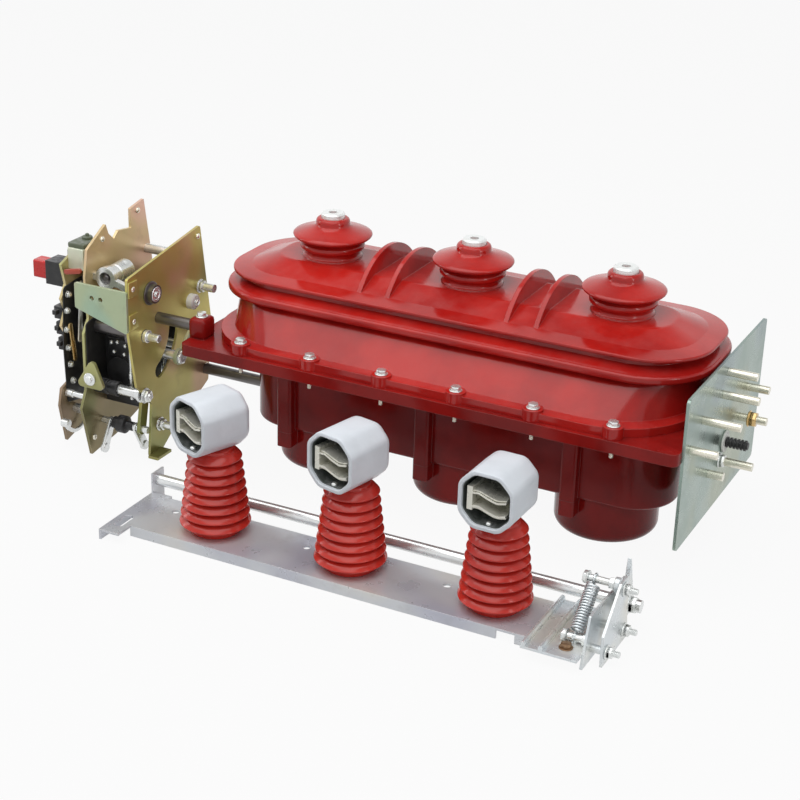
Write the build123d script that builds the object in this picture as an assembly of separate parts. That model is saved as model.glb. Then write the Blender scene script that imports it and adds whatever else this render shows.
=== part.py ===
from build123d import *
import os
from math import atan2, cos, degrees, hypot, radians, sin

# Gas insulated load break switch: epoxy tank, spring mechanism, end plate and lower contact base.
# Millimetres. X runs along the three phases, Y away from the operator, Z up.
# The origin is under the middle bell, on the surface that the bells stand on.

# General
phase_pitch = 210.0
phase_count = 3
sheet = 4.0
running_gap = 0.05
overrun = 5.0
seat_gap = 0.2

# Lower shell and its bells
bell_radius = 69.5
bell_height = 62.0
bell_edge = 14.0
pan_offset = 98.0
pan_half_width = 75.0
pan_corner = 62.0
pan_depth = 121.0
pan_edge = 5.0
lower_flange_thickness = 16.0
flange_offset = 140.0
flange_width = 340.0
flange_corner = 10.0
rib_width = 22.0
rib_offset = 26.0
rib_stand = 13.0
rib_drop = 22.0
rib_edge = 4.0
corner_boss_length = 22.0
corner_boss_inset = 40.0
corner_boss_width = 26.0
corner_boss_height = 26.0
bottom_terminal_radius = 18.0
terminal_depth = 24.0
terminal_thread_radius = 6.0
terminal_thread_depth = 20.0

# Upper shell
upper_flange_offset = 128.0
upper_flange_setback = 8.0
upper_flange_corner_share = 0.69
upper_flange_thickness = 11.0
bolts_per_side = 6
bolt_inset = 15.0
bolt_seat_radius = 13.0
bolt_seat_height = 3.5
wall_foot_offset = 120.0
wall_foot_setback = 18.0
wall_foot_corner_share = 0.82
wall_height = 44.0
shell_corner_share = 0.8
wall_top_offset = 118.5
wall_top_half_width = 103.0
lower_skirt_overhang = 14.5
lower_skirt_end = 17.5
lower_skirt_band = 11.0
lower_skirt_edge = 4.0
recess_inset = 6.0
recess_rise = 7.0
recess_height = 7.5
upper_skirt_overhang = 8.7
upper_skirt_end = 17.9
upper_skirt_thickness = 5.0
upper_skirt_edge = 2.0
brim_width = 22.0
brim_rise = 3.0
crown_slope_width = 36.0
crown_rise = 13.5
crown_round = 10.0

# Bushings and fins on the crown
bushing_foot_radius = 41.5
bushing_foot_rise = 1.0
bushing_neck_radius = 37.5
bushing_neck_height = 11.0
bushing_ring_radius = 44.0
bushing_ring_height = 8.0
shed_drop = 5.0
shed_radius = 54.0
shed_edge = 5.0
shed_height = 17.0
boss_radius = 23.2
boss_height = 11.0
boss_edge = 2.0
terminal_radius = 16.0
terminal_stand = 7.0
terminal_edge = 2.0
fin_spacing = 41.0
fin_thickness = 6.0
fin_half_chord = 84.0
fin_rise = 45.0

# Right end plate and its studs
end_plate_width = 322.0
end_plate_offset = 7.0
end_plate_drop = 135.0
end_plate_height = 201.0
end_plate_corner = 6.0
stud_radius = 5.5
stud_lengths = [38.0, 30.0, 46.0, 36.0, 48.0, 34.0, 44.0, 20.0]
stud_y_shares = [0.485, 0.800, 0.452, 0.735, 0.195, 0.065, 0.487, 0.345]
stud_z_shares = [0.910, 0.625, 0.775, 0.450, 0.760, 0.645, 0.300, 0.300]
sleeve_y_share = 0.530
sleeve_z_share = 0.405
sleeve_radius = 7.0
sleeve_core_radius = 5.0
sleeve_length = 32.0
sleeve_ribs = 6
sleeve_washer_radius = 12.0
sleeve_washer = 2.0

# Mechanism plates
inner_plate_gap = 60.0
middle_plate_spacing = 80.0
outer_plate_spacing = 58.0
mechanism_front = -199.0
mechanism_depth = 203.0
mechanism_bottom = 8.0
mechanism_stand = 13.0
plate_corner = 4.0
inner_outline_shares = [
    (0.0, 0.912), (0.877, 1.0), (1.0, 0.52), (0.95, 0.22), (0.473, 0.068),
    (0.32, 0.0), (0.202, 0.015), (0.241, 0.268), (0.071, 0.389), (0.0, 0.647),
]
middle_outline_shares = [
    (0.115, 0.98), (0.33, 1.06), (0.36, 1.01), (0.42, 0.975), (0.47, 1.005), (0.62, 0.99),
    (0.62, 1.08), (0.78, 1.10), (0.86, 0.81), (0.90, 0.45), (0.80, 0.12), (0.37, 0.03),
    (0.07, 0.0), (-0.02, 0.25), (0.04, 0.33), (0.04, 0.60), (0.10, 0.66), (0.08, 0.86),
]
outer_outline_shares = [
    (0.20, 0.86), (0.46, 0.93), (0.60, 0.90), (0.60, 0.52), (0.66, 0.30), (0.42, 0.05),
    (0.17, 0.0), (0.11, 0.19), (0.14, 0.27), (0.27, 0.30), (0.21, 0.42), (0.24, 0.50),
    (0.17, 0.57), (0.22, 0.64), (0.18, 0.70), (0.24, 0.76),
]

# Output crank, its pin in the arc slot, and the link
crank_setback = 37.0
crank_rise = 187.5
crank_radius = 70.0
crank_rest_angle = -40.0
slot_low_angle = -62.0
slot_high_angle = -5.0
slot_width = 22.0
crank_shaft_radius = 9.0
crank_shaft_offset = 24.0
crank_hub_radius = 19.0
crank_eye_radius = 15.0
crank_thickness = 8.0
crank_gap = 9.0
crank_pin_radius = 7.5
crank_pin_offset = 26.0
link_thickness = 5.0
link_gap = 16.0
link_length = 50.0
link_rise = 32.0
link_tail = 8.0
link_tail_angle = 8.0
link_width = 11.0
link_eye_radius = 11.5

# Rods, studs and small pieces of the mechanism
standoff_radius = 8.0
standoff_row = -13.0
standoff_low_rise = 33.0
standoff_high_rise = 88.0
tie_rod_radius = 7.0
inner_tie_shares = [(0.16, 0.33), (0.80, 0.86), (0.84, 0.40)]
outer_tie_shares = [(0.28, 0.14), (0.54, 0.86), (0.50, 0.40)]
pivot_y_share = 0.256
pivot_z_share = 0.80
pivot_radius = 13.0
pivot_bore_radius = 6.0
pivot_offset = 10.0
roller_y_share = 0.735
roller_z_share = 0.662
roller_radius = 11.0
roller_length = 10.0
plate_stud_shares = [(0.864, 0.709), (0.33, 0.147)]
plate_stud_radius = 6.0
plate_stud_lengths = [24.0, 28.0]

bracket_height = 60.0
bracket_low_share = 0.60
bracket_z_share = 0.66
bracket_corner = 3.0
bracket_hole_radius = 3.5

eye_y_share = 0.16
eye_z_share = 0.85
eye_radius = 16.0
eye_bore_radius = 9.0
eye_thickness = 8.0
eye_lug = 5.0
eye_arm_width = 9.0
eye_arm_drop = 15.0

coil_box_length = 26.0
coil_box_depth = 40.0
coil_box_height = 30.0
coil_box_wall = 3.0
coil_box_y_share = 0.28
coil_box_z_share = 0.83

spring_radius = 17.0
spring_wire = 5.0
spring_core_radius = 11.0
spring_coils = 8
spring_y_share = 0.66
spring_z_share = 0.36
spring_length = 62.0

gusset_y_share = 0.04
gusset_z_share = 0.35
gusset_width = 49.0
gusset_overhang = 11.0
gusset_height = 46.0
gusset_thickness = 5.0
gusset_corner = 3.0
gusset_window_share = 0.36

gear_case_length = 54.0
gear_case_depth = 57.0
gear_case_height = 103.0
gear_case_y_share = 0.266
gear_case_z_share = 0.22
gear_case_edge = 6.0
gear_case_boss_radius = 21.0
gear_case_boss_stand = 5.0

trip_rod_radius = 5.0
trip_y_share = 0.215
trip_z_share = 0.14
trip_lever_length = 52.0
trip_lever_width = 16.0
trip_lever_thickness = 5.0
trip_lever_angle = 78.0

foot_width = 34.0
foot_length = 16.0
foot_y_share = 0.26

button_width = 22.0
button_height = 26.0
button_corner = 3.0
button_length = 24.0
button_travel = 6.0
button_gap = 0.3
block_length = 38.0
block_depth = 30.0
block_height = 34.0
block_y_share = 0.365
block_z_share = 0.783

# Lower contact base
base_pitch = 197.4
base_shift = 16.6
base_distance = 128.0
base_height = 14.5
base_sheet = 3.0
base_left_offset = 99.0
base_right_offset = 71.2
base_front_offset = 49.5
base_back_offset = 42.0
base_hole_radius = 5.0
base_hole_offset = 70.0
base_hole_setback = 13.5
base_notch = 24.0

post_base_radius = 33.0
post_core_low = 36.0
post_core_high = 26.0
post_shed_low = 46.0
post_shed_high = 38.0
post_first_shed = 14.0
post_height = 118.0
post_sheds = 8
post_shed_thickness = 5.0

shroud_width = 72.0
shroud_height = 74.0
shroud_length = 78.0
shroud_chamfer = 18.0
shroud_round = 16.0
shroud_wall = 7.0
shroud_back_edge = 14.0
shroud_yaws = [-21.0, -13.0, -2.0]
shroud_forward = 4.0
clip_thickness = 2.4
clip_depth = 50.0
clip_half_width = 25.0
clip_leaf_rise = 8.0
clip_leaf_drop = 17.0
clip_wave = 6.0
clip_bend_radius = 6.0
clip_block_width = 7.0
clip_block_height = 30.0
clip_foot_depth = 18.0

shaft_setback = 15.1
shaft_rise = 15.0
shaft_radius = 8.0
shaft_end = 2.0
shaft_stub = 16.0

foot_plate = 30.0
foot_overhang = 26.5
foot_back_offset = 6.0
foot_ear = 13.0
foot_slot_length = 34.0
foot_slot_width = 13.0

angle_lap = 6.0
angle_ridge = 6.0
angle_ridge_gap = 22.0
anchor_radius = 4.0
anchor_setback = 38.0
anchor_rise = 9.5
bearing_offset = 64.0
bearing_height = 58.0
bearing_front_height = 61.0
bearing_front_lean = 20.0
bearing_front_width = 26.0
bearing_slope = 14.0
bearing_back_offset = 26.4
bracket_plate_height = 86.0
bracket_plate_front = 40.0
bracket_plate_width = 83.0
bracket_plate_top = 24.0
spacer_radius = 5.0
spacer_height = 15.0
spacer_inset = 13.0
lever_gap = 5.0
lever_thickness = 5.0
lever_offset = 57.5
lever_blade = 62.5
lever_hub_radius = 15.0
lever_eye_radius = 9.0
lever_angle = 131.0
blade_angle = 93.0
lever_pin_radius = 4.5
lever_pin_stub = 8.0
return_spring_setback = 18.0
return_coil_radius = 9.0
return_wire = 2.2
return_coils = 14


def export(name, shape):
    """Writes one node, as one solid or as several that do not touch."""
    solids = shape.solids()
    whole = solids[0] if len(solids) == 1 else Compound(children=list(solids))
    export_step(whole, os.path.join("parts", name + ".step"))


def rod(start, end, y, z, radius):
    """Round bar along X from start to end."""
    return Plane(origin=(start, y, z), x_dir=(0, 1, 0), z_dir=(1, 0, 0)) * Cylinder(
        radius, end - start, align=(Align.CENTER, Align.CENTER, Align.MIN))


def upright(x, thickness, sketch):
    """Plate cut from sheet, standing across X, with its outline drawn in Y and Z."""
    return extrude(Plane.YZ.offset(x) * sketch, amount=thickness, dir=(1, 0, 0))


def mechanism_point(shares):
    """Place in the mechanism, as shares of its depth and height."""
    y = mechanism_front + shares[0] * mechanism_depth
    return (y, mechanism_bottom + shares[1] * mechanism_height)


def rounded_outline(points, radius):
    """Closed outline with rounded corners."""
    outline = Polygon(*points, align=None)
    return fillet(outline.vertices(), radius)


def box_between(x0, x1, y0, y1, z0, z1):
    """Block between two corners."""
    return Pos((x0 + x1) / 2, (y0 + y1) / 2, (z0 + z1) / 2) * Box(x1 - x0, y1 - y0, z1 - z0)


# Places that follow from the sizes above
phases = [(k - (phase_count - 1) / 2) * phase_pitch for k in range(phase_count)]
bolt_places = [(k - (bolts_per_side - 1) / 2) * phase_pitch / 2 for k in range(bolts_per_side)]
bolt_row = flange_width / 2 - bolt_inset
flange_end = phases[-1] + flange_offset
lower_flange_bottom = bell_height + pan_depth
split_height = lower_flange_bottom + lower_flange_thickness
upper_flange_top = split_height + upper_flange_thickness
lower_skirt_bottom = upper_flange_top + wall_height
lower_skirt_top = lower_skirt_bottom + lower_skirt_band
recess_bottom = lower_skirt_top + recess_rise
upper_skirt_bottom = recess_bottom + recess_height
crown_edge = upper_skirt_bottom + upper_skirt_thickness
crown_foot = crown_edge + brim_rise
crown_height = crown_foot + crown_rise
mechanism_height = crown_height + mechanism_stand - mechanism_bottom
bushing_seat = crown_height + bushing_foot_rise
bushing_ring_bottom = bushing_seat + bushing_neck_height
bushing_ring_top = bushing_ring_bottom + bushing_ring_height
shed_bottom = bushing_ring_top + shed_drop
shed_top = shed_bottom + shed_height
boss_top = shed_top + boss_height
terminal_top = boss_top + terminal_stand
end_plate_bottom = split_height - end_plate_drop
inner_plate_x = -(flange_end + inner_plate_gap)
middle_plate_x = inner_plate_x - middle_plate_spacing
outer_plate_x = middle_plate_x - outer_plate_spacing
crank_y = mechanism_front + crank_setback
crank_z = mechanism_bottom + crank_rise


def upward(x, y, z, radius, height):
    """Round bar along Z that stands on a point."""
    return Pos(x, y, z) * Cylinder(radius, height, align=(Align.CENTER, Align.CENTER, Align.MIN))


def rib(x, side, low, high):
    """Flat rib in front of one bell, or behind it."""
    front = side * (pan_half_width + rib_stand)
    block = box_between(x - rib_offset - rib_width / 2, x - rib_offset + rib_width / 2,
                        min(0, front), max(0, front), low, high)
    edges = block.edges().filter_by(Axis.Z).sort_by(Axis.Y)
    return fillet(edges[:2] if side < 0 else edges[2:], rib_edge)


def lower_shell():
    """Casting with the flange, the pan, the ribs in front of the bells and the corner bosses."""
    flange = Pos(0, 0, lower_flange_bottom) * extrude(
        RectangleRounded(2 * flange_end, flange_width, flange_corner), amount=lower_flange_thickness)
    pan_length = 2 * (phases[-1] + pan_offset)
    pan = Pos(0, 0, bell_height) * extrude(
        RectangleRounded(pan_length, 2 * pan_half_width, pan_corner), amount=pan_depth)
    body = flange + fillet(pan.faces().sort_by(Axis.Z)[0].edges(), pan_edge)
    for x in phases:
        for side in (-1, 1):
            body = body + rib(x, side, bell_height, lower_flange_bottom)
    for side in (-1, 1):
        row = side * (flange_width / 2 - corner_boss_inset)
        body = body + box_between(-flange_end, -flange_end + corner_boss_length,
                                  row - corner_boss_width / 2, row + corner_boss_width / 2,
                                  split_height, split_height + corner_boss_height)
    return body


def bells():
    """Round lower ends of the phases, with the lower ends of their ribs."""
    shapes = []
    for x in phases:
        bell = upward(x, 0, 0, bell_radius, bell_height)
        bell = fillet(bell.edges().filter_by(GeomType.CIRCLE).sort_by(Axis.Z)[0], bell_edge)
        for side in (-1, 1):
            bell = bell + rib(x, side, bell_height - rib_drop, bell_height)
        shapes.append(bell - upward(x, 0, 0, bottom_terminal_radius, terminal_depth))
    return Compound(children=shapes)


def bottom_terminals():
    """Metal inserts in the bells, flush with their lower faces."""
    inserts = []
    for x in phases:
        insert = upward(x, 0, 0, bottom_terminal_radius, terminal_depth)
        inserts.append(insert - upward(x, 0, 0, terminal_thread_radius, terminal_thread_depth))
    return Compound(children=inserts)


def bushings():
    """Necks with a ring, one wide shed and the boss for the terminal, turned about Z."""
    shed_middle = shed_bottom + shed_edge
    points = [
        (0, bushing_seat), (bushing_foot_radius, bushing_seat),
        (bushing_neck_radius, (bushing_seat + bushing_ring_bottom) / 2),
        (bushing_ring_radius, bushing_ring_bottom), (bushing_ring_radius, bushing_ring_top),
        (bushing_neck_radius, shed_bottom), (shed_radius - shed_edge, shed_bottom),
        (shed_radius, shed_middle), (shed_radius - shed_edge / 2, shed_middle + shed_edge / 2),
        (boss_radius, shed_top), (boss_radius, boss_top - boss_edge),
        (boss_radius - boss_edge, boss_top), (0, boss_top),
    ]
    turned = revolve(Plane.XZ * Polygon(*points, align=None), axis=Axis.Z)
    turned = turned - upward(0, 0, terminal_top - terminal_depth, terminal_radius, terminal_depth)
    return Compound(children=[Pos(x, 0, 0) * turned for x in phases])


def fin():
    """Arched barrier across the crown, between two bushings."""
    with BuildLine() as line:
        ThreePointArc((-fin_half_chord, crown_edge), (0, crown_edge + fin_rise), (fin_half_chord, crown_edge))
        Line((fin_half_chord, crown_edge), (-fin_half_chord, crown_edge))
    return upright(-fin_thickness / 2, fin_thickness, make_face(line.edges()))


def shell_layer(height, length, half_width):
    """Rounded outline of the upper shell at a height, from the end of its length and its half width."""
    return Plane.XY.offset(height) * RectangleRounded(
        2 * (phases[-1] + length), 2 * half_width, shell_corner_share * half_width)


def skirt(height, length, half_width, thickness, edge):
    """Flat rim round the upper shell with rounded edges."""
    rim = extrude(shell_layer(height, length, half_width), amount=thickness)
    return fillet(rim.faces().sort_by(Axis.Z)[0].edges() + rim.faces().sort_by(Axis.Z)[-1].edges(), edge)


def crown():
    """Top of the upper shell: a nearly flat brim and a dome with a level top."""
    length = wall_top_offset - recess_inset + upper_skirt_end - upper_skirt_edge
    half_width = wall_top_half_width - recess_inset + upper_skirt_overhang - upper_skirt_edge
    foot = (length - brim_width, half_width - brim_width)
    top = (foot[0] - crown_slope_width, foot[1] - crown_slope_width)
    brim = loft([shell_layer(crown_edge, length, half_width), shell_layer(crown_foot, *foot)])
    dome = loft([shell_layer(crown_foot, *foot), shell_layer(crown_height, *top)])
    return brim + fillet(dome.faces().sort_by(Axis.Z)[-1].edges(), crown_round)


def upper_shell():
    """Casting with the flange, the flared wall, two skirts, the crown, the bushings' feet and the fins."""
    half_width = flange_width / 2 - upper_flange_setback
    flange = Pos(0, 0, split_height) * extrude(
        RectangleRounded(2 * (phases[-1] + upper_flange_offset), 2 * half_width,
                         upper_flange_corner_share * half_width), amount=upper_flange_thickness)
    half_width = half_width - wall_foot_setback
    wall = loft([
        Plane.XY.offset(upper_flange_top) * RectangleRounded(
            2 * (phases[-1] + wall_foot_offset), 2 * half_width, wall_foot_corner_share * half_width),
        shell_layer(lower_skirt_bottom, wall_top_offset, wall_top_half_width),
    ])
    rim = (wall_top_offset + lower_skirt_end, wall_top_half_width + lower_skirt_overhang)
    waist = (wall_top_offset - recess_inset, wall_top_half_width - recess_inset)
    body = flange + wall + skirt(lower_skirt_bottom, *rim, lower_skirt_band, lower_skirt_edge)
    body = body + loft([shell_layer(lower_skirt_top, rim[0] - lower_skirt_edge, rim[1] - lower_skirt_edge),
                        shell_layer(recess_bottom, *waist)])
    body = body + extrude(shell_layer(recess_bottom, *waist), amount=recess_height)
    body = body + skirt(upper_skirt_bottom, waist[0] + upper_skirt_end, waist[1] + upper_skirt_overhang,
                        upper_skirt_thickness, upper_skirt_edge)
    body = body + crown()
    seat_height = upper_flange_thickness + bolt_seat_height
    for x in bolt_places:
        for y in (-bolt_row, bolt_row):
            body = body + upward(x, y, split_height, bolt_seat_radius, seat_height)
    for x in phases:
        body = body + upward(x, 0, crown_edge, bushing_foot_radius, bushing_seat - crown_edge)
    barrier = fin()
    for gap in range(phase_count - 1):
        middle = (phases[gap] + phases[gap + 1]) / 2
        for side in (-1, 1):
            body = body + Pos(middle + side * fin_spacing / 2, 0, 0) * barrier
    return body


def top_terminals():
    """Metal inserts that stand out of the bushings."""
    inserts = []
    for x in phases:
        insert = upward(x, 0, terminal_top - terminal_depth, terminal_radius, terminal_depth)
        insert = chamfer(insert.edges().filter_by(GeomType.CIRCLE).sort_by(Axis.Z)[-1], terminal_edge)
        inserts.append(insert - upward(x, 0, terminal_top - terminal_thread_depth, terminal_thread_radius,
                                       terminal_thread_depth))
    return Compound(children=inserts)


def end_plate_point(y_share, z_share):
    """Place on the right end plate, as shares of its width and height."""
    y = end_plate_offset + (y_share - 1 / 2) * end_plate_width
    return (y, end_plate_bottom + z_share * end_plate_height)


def right_end_plate():
    """Flat mounting plate against the right end of the flange."""
    outline = Pos(end_plate_offset, end_plate_bottom + end_plate_height / 2) * RectangleRounded(
        end_plate_width, end_plate_height, end_plate_corner)
    return upright(flange_end, sheet, outline)


def end_plate_studs():
    """Round studs that stand out of the right end plate."""
    face = flange_end + sheet
    studs = []
    for y_share, z_share, length in zip(stud_y_shares, stud_z_shares, stud_lengths):
        y, z = end_plate_point(y_share, z_share)
        studs.append(rod(face, face + length, y, z, stud_radius))
    return Compound(children=studs)


def interlock_sleeve():
    """Ribbed sleeve with a washer against the right end plate."""
    y, z = end_plate_point(sleeve_y_share, sleeve_z_share)
    face = flange_end + sheet
    body = rod(face, face + sleeve_washer, y, z, sleeve_washer_radius)
    body = body + rod(face, face + sleeve_length, y, z, sleeve_core_radius)
    pitch = (sleeve_length - 2 * sleeve_washer) / sleeve_ribs
    for k in range(sleeve_ribs):
        start = face + 2 * sleeve_washer + k * pitch
        body = body + rod(start, start + pitch / 2, y, z, sleeve_radius)
    return body


def plate_holes(x, places, radius):
    """Round cutters through one mechanism plate."""
    return [rod(x - sheet - overrun, x + overrun, *place, radius) for place in places]


crank_pin_y = crank_y + crank_radius * cos(radians(crank_rest_angle))
crank_pin_z = crank_z + crank_radius * sin(radians(crank_rest_angle))
trip_place = mechanism_point((trip_y_share, trip_z_share))
pivot_place = mechanism_point((pivot_y_share, pivot_z_share))


def inner_plate():
    """Mechanism plate that faces the tank, with the arc slot of the crank pin."""
    plate = upright(inner_plate_x - sheet, sheet,
                    rounded_outline([mechanism_point(s) for s in inner_outline_shares], plate_corner))
    sweep_angle = slot_high_angle - slot_low_angle
    path = CenterArc((crank_y, crank_z), crank_radius, slot_low_angle, sweep_angle)
    plate = plate - upright(inner_plate_x - sheet - overrun, sheet + 2 * overrun, SlotArc(path, slot_width))
    for cutter in plate_holes(inner_plate_x, [(crank_y, crank_z)], crank_shaft_radius + running_gap):
        plate = plate - cutter
    return plate


def middle_plate():
    """Middle mechanism plate with the tall tab and the stepped front edge."""
    plate = upright(middle_plate_x - sheet, sheet,
                    rounded_outline([mechanism_point(s) for s in middle_outline_shares], plate_corner / 4))
    for cutter in plate_holes(middle_plate_x, [(crank_y, crank_z)], crank_shaft_radius + running_gap):
        plate = plate - cutter
    return plate


def outer_plate():
    """Outer mechanism plate with its notched front edge."""
    return upright(outer_plate_x - sheet, sheet,
                   rounded_outline([mechanism_point(s) for s in outer_outline_shares], plate_corner / 4))


def plate_standoffs():
    """Bars that hold the inner plate to the corner boss and to the end of the pan."""
    boss_z = split_height + corner_boss_height / 2
    pan_end = -(phases[-1] + pan_offset)
    bars = [rod(inner_plate_x, -flange_end, corner_boss_inset - flange_width / 2, boss_z, standoff_radius)]
    for rise in (standoff_low_rise, standoff_high_rise):
        bars.append(rod(inner_plate_x, pan_end, standoff_row, bell_height + rise, standoff_radius))
    return Compound(children=bars)


def tie_rods(shares, start, end):
    """Distance bars between two mechanism plates."""
    return Compound(children=[rod(start, end, *mechanism_point(s), tie_rod_radius) for s in shares])


def pivot_bush():
    """Flanged bush on the inner plate."""
    ring = rod(inner_plate_x, inner_plate_x + pivot_offset, *pivot_place, pivot_radius)
    return ring - rod(inner_plate_x, inner_plate_x + pivot_offset + overrun, *pivot_place, pivot_bore_radius)


def guide_roller():
    """White roller on the inner plate."""
    y, z = mechanism_point((roller_y_share, roller_z_share))
    wheel = rod(inner_plate_x, inner_plate_x + roller_length, y, z, roller_radius)
    return chamfer(wheel.edges().filter_by(GeomType.CIRCLE).sort_by(Axis.X)[-1], terminal_edge)


def plate_studs():
    """Studs on the tank side of the inner plate."""
    studs = []
    for shares, length in zip(plate_stud_shares, plate_stud_lengths):
        studs.append(rod(inner_plate_x, inner_plate_x + length, *mechanism_point(shares), plate_stud_radius))
    return Compound(children=studs)


def front_bracket():
    """Sheet across the front of the inner and middle plates, lower at its outer end."""
    y = mechanism_front - sheet
    z = mechanism_bottom + bracket_z_share * mechanism_height
    left = middle_plate_x - sheet
    right = inner_plate_x
    short = bracket_low_share * bracket_height
    points = [(left, z + bracket_height - short), (right, z), (right, z + bracket_height),
              (left, z + bracket_height)]
    plate = Plane.XZ.offset(-y) * rounded_outline(points, bracket_corner)
    plate = extrude(plate, amount=sheet, dir=(0, 1, 0))
    for share in (1 / 3, 1 / 2):
        hole = Plane(origin=(left + share * (right - left), y - overrun, z + bracket_height - short / 2),
                     z_dir=(0, 1, 0))
        plate = plate - hole * Cylinder(bracket_hole_radius, sheet + 2 * overrun,
                                        align=(Align.CENTER, Align.CENTER, Align.MIN))
    return plate


def hook_eye():
    """Spring hook: an eye facing the front, on a lug of one plate, with an arm to the inner plate."""
    y, z = mechanism_point((eye_y_share, eye_z_share))
    x = middle_plate_x + eye_lug + eye_radius
    end = inner_plate_x - sheet
    half = eye_arm_width / 2
    low = z - eye_arm_drop
    arm = Polygon((x, z - half), (end, low - half), (end, low + half), (x, z + half), align=None)
    lug = Pos((middle_plate_x + x) / 2, z) * Rectangle(x - middle_plate_x, eye_arm_width)
    outline = Pos(x, z) * Circle(eye_radius) + arm + lug - Pos(x, z) * Circle(eye_bore_radius)
    return extrude(Plane.XZ.offset(-y) * outline, amount=eye_thickness, dir=(0, 1, 0))


def coil_box():
    """Open sheet box on the outer plate's inner face."""
    y, z = mechanism_point((coil_box_y_share, coil_box_z_share))
    outer = box_between(outer_plate_x, outer_plate_x + coil_box_length, y, y + coil_box_depth,
                        z, z + coil_box_height)
    hollow = box_between(outer_plate_x + coil_box_wall, outer_plate_x + coil_box_length - coil_box_wall,
                         y - overrun, y + coil_box_depth - coil_box_wall,
                         z + coil_box_wall, z + coil_box_height - coil_box_wall)
    return outer - hollow


def main_spring():
    """Charging spring seen as its stacked coils on a guide bar, along X."""
    y, z = mechanism_point((spring_y_share, spring_z_share))
    bar = rod(middle_plate_x, inner_plate_x - sheet, y, z, spring_core_radius)
    pitch = spring_length / spring_coils
    start = middle_plate_x + (inner_plate_x - sheet - middle_plate_x - spring_length) / 2
    for k in range(spring_coils):
        bar = bar + rod(start + k * pitch, start + k * pitch + spring_wire, y, z, spring_radius)
    return bar


def front_gusset():
    """Triangular brace on the front edge of the middle plate, with a window."""
    y, z = mechanism_point((gusset_y_share, gusset_z_share))
    left = middle_plate_x - sheet - gusset_overhang
    middle = left + gusset_width * 3 / 5
    corners = [(left, z), (left + gusset_width, z), (middle, z + gusset_height)]
    centre_x = left + gusset_width / 2
    centre_z = z + gusset_height / 3
    window = [(centre_x + (across - centre_x) * gusset_window_share,
               centre_z + (up - centre_z) * gusset_window_share) for across, up in corners]
    outline = rounded_outline(corners, 2 * gusset_corner) - rounded_outline(window, gusset_corner)
    return extrude(Plane.XZ.offset(gusset_thickness - y) * outline, amount=gusset_thickness, dir=(0, 1, 0))


def gear_case():
    """Moulded case of the charging gear, on the middle plate, with a round boss on its front."""
    y, z = mechanism_point((gear_case_y_share, gear_case_z_share))
    right = middle_plate_x + gear_case_length
    case = box_between(middle_plate_x, right, y, y + gear_case_depth, z, z + gear_case_height)
    case = fillet(case.edges().filter_by(Axis.X), gear_case_edge)
    centre = Plane(origin=((middle_plate_x + right) / 2, y, z + gear_case_height / 2), z_dir=(0, -1, 0))
    return case + centre * Cylinder(gear_case_boss_radius, gear_case_boss_stand,
                                    align=(Align.CENTER, Align.CENTER, Align.MIN))


def trip_rod():
    """Thin bar across the lower part of the mechanism."""
    return rod(middle_plate_x, inner_plate_x - sheet, *trip_place, trip_rod_radius)


def trip_lever():
    """Flat lever fixed on the trip rod."""
    y, z = trip_place
    far_y = y + trip_lever_length * cos(radians(trip_lever_angle))
    far_z = z + trip_lever_length * sin(radians(trip_lever_angle))
    x = inner_plate_x - sheet - crank_gap - trip_lever_thickness
    lever = upright(x, trip_lever_thickness, SlotOverall(
        trip_lever_length + trip_lever_width, trip_lever_width).moved(
            Location(((y + far_y) / 2, (z + far_z) / 2), trip_lever_angle)))
    return lever - rod(x - overrun, x + trip_lever_thickness + overrun, y, z, trip_rod_radius)


def foot_bracket():
    """Small bent foot at the lower tip of the inner plate."""
    y, z = mechanism_point((foot_y_share, 0))
    return box_between(inner_plate_x, inner_plate_x + foot_length, y - foot_width / 2, y + foot_width / 2,
                       z + sheet, z + 2 * sheet)


def drive_crank():
    """Output shaft with the crank arm, between the inner and middle plates."""
    shaft = rod(middle_plate_x - sheet, inner_plate_x + crank_shaft_offset, crank_y, crank_z,
                crank_shaft_radius)
    x = inner_plate_x - sheet - crank_gap - crank_thickness
    arm = SlotOverall(crank_radius, 2 * crank_eye_radius).moved(
        Location(((crank_y + crank_pin_y) / 2, (crank_z + crank_pin_z) / 2), crank_rest_angle))
    hub = Pos(crank_y, crank_z) * Circle(crank_hub_radius)
    eye = Pos(crank_pin_y, crank_pin_z) * Circle(crank_eye_radius)
    plate = upright(x, crank_thickness, arm + hub + eye)
    eye_bore = rod(x - overrun, x + crank_thickness + overrun, crank_pin_y, crank_pin_z, crank_pin_radius)
    return plate - eye_bore + shaft


def crank_pin():
    """Pin of the crank, through the arc slot to the link."""
    start = inner_plate_x - sheet - crank_gap - crank_thickness
    return rod(start, inner_plate_x + crank_pin_offset, crank_pin_y, crank_pin_z, crank_pin_radius)


def drive_link():
    """Bent link on the crank pin, on the tank side of the inner plate."""
    top_y = crank_pin_y + (link_length ** 2 - link_rise ** 2) ** (1 / 2)
    top_z = crank_pin_z + link_rise
    angle = degrees(atan2(link_rise, top_y - crank_pin_y))
    tail_y = top_y + link_tail * cos(radians(link_tail_angle))
    tail_z = top_z + link_tail * sin(radians(link_tail_angle))
    x = inner_plate_x + link_gap
    lower = SlotOverall(link_length + link_width, link_width).moved(
        Location(((crank_pin_y + top_y) / 2, (crank_pin_z + top_z) / 2), angle))
    upper = SlotOverall(link_tail + link_width, link_width).moved(
        Location(((tail_y + top_y) / 2, (tail_z + top_z) / 2), link_tail_angle))
    eye = Pos(crank_pin_y, crank_pin_z) * Circle(link_eye_radius)
    plate = upright(x, link_thickness, lower + upper + eye)
    return plate - rod(x - overrun, x + link_thickness + overrun, crank_pin_y, crank_pin_z,
                       crank_pin_radius + running_gap)


block_y, block_z = mechanism_point((block_y_share, block_z_share))


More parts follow.
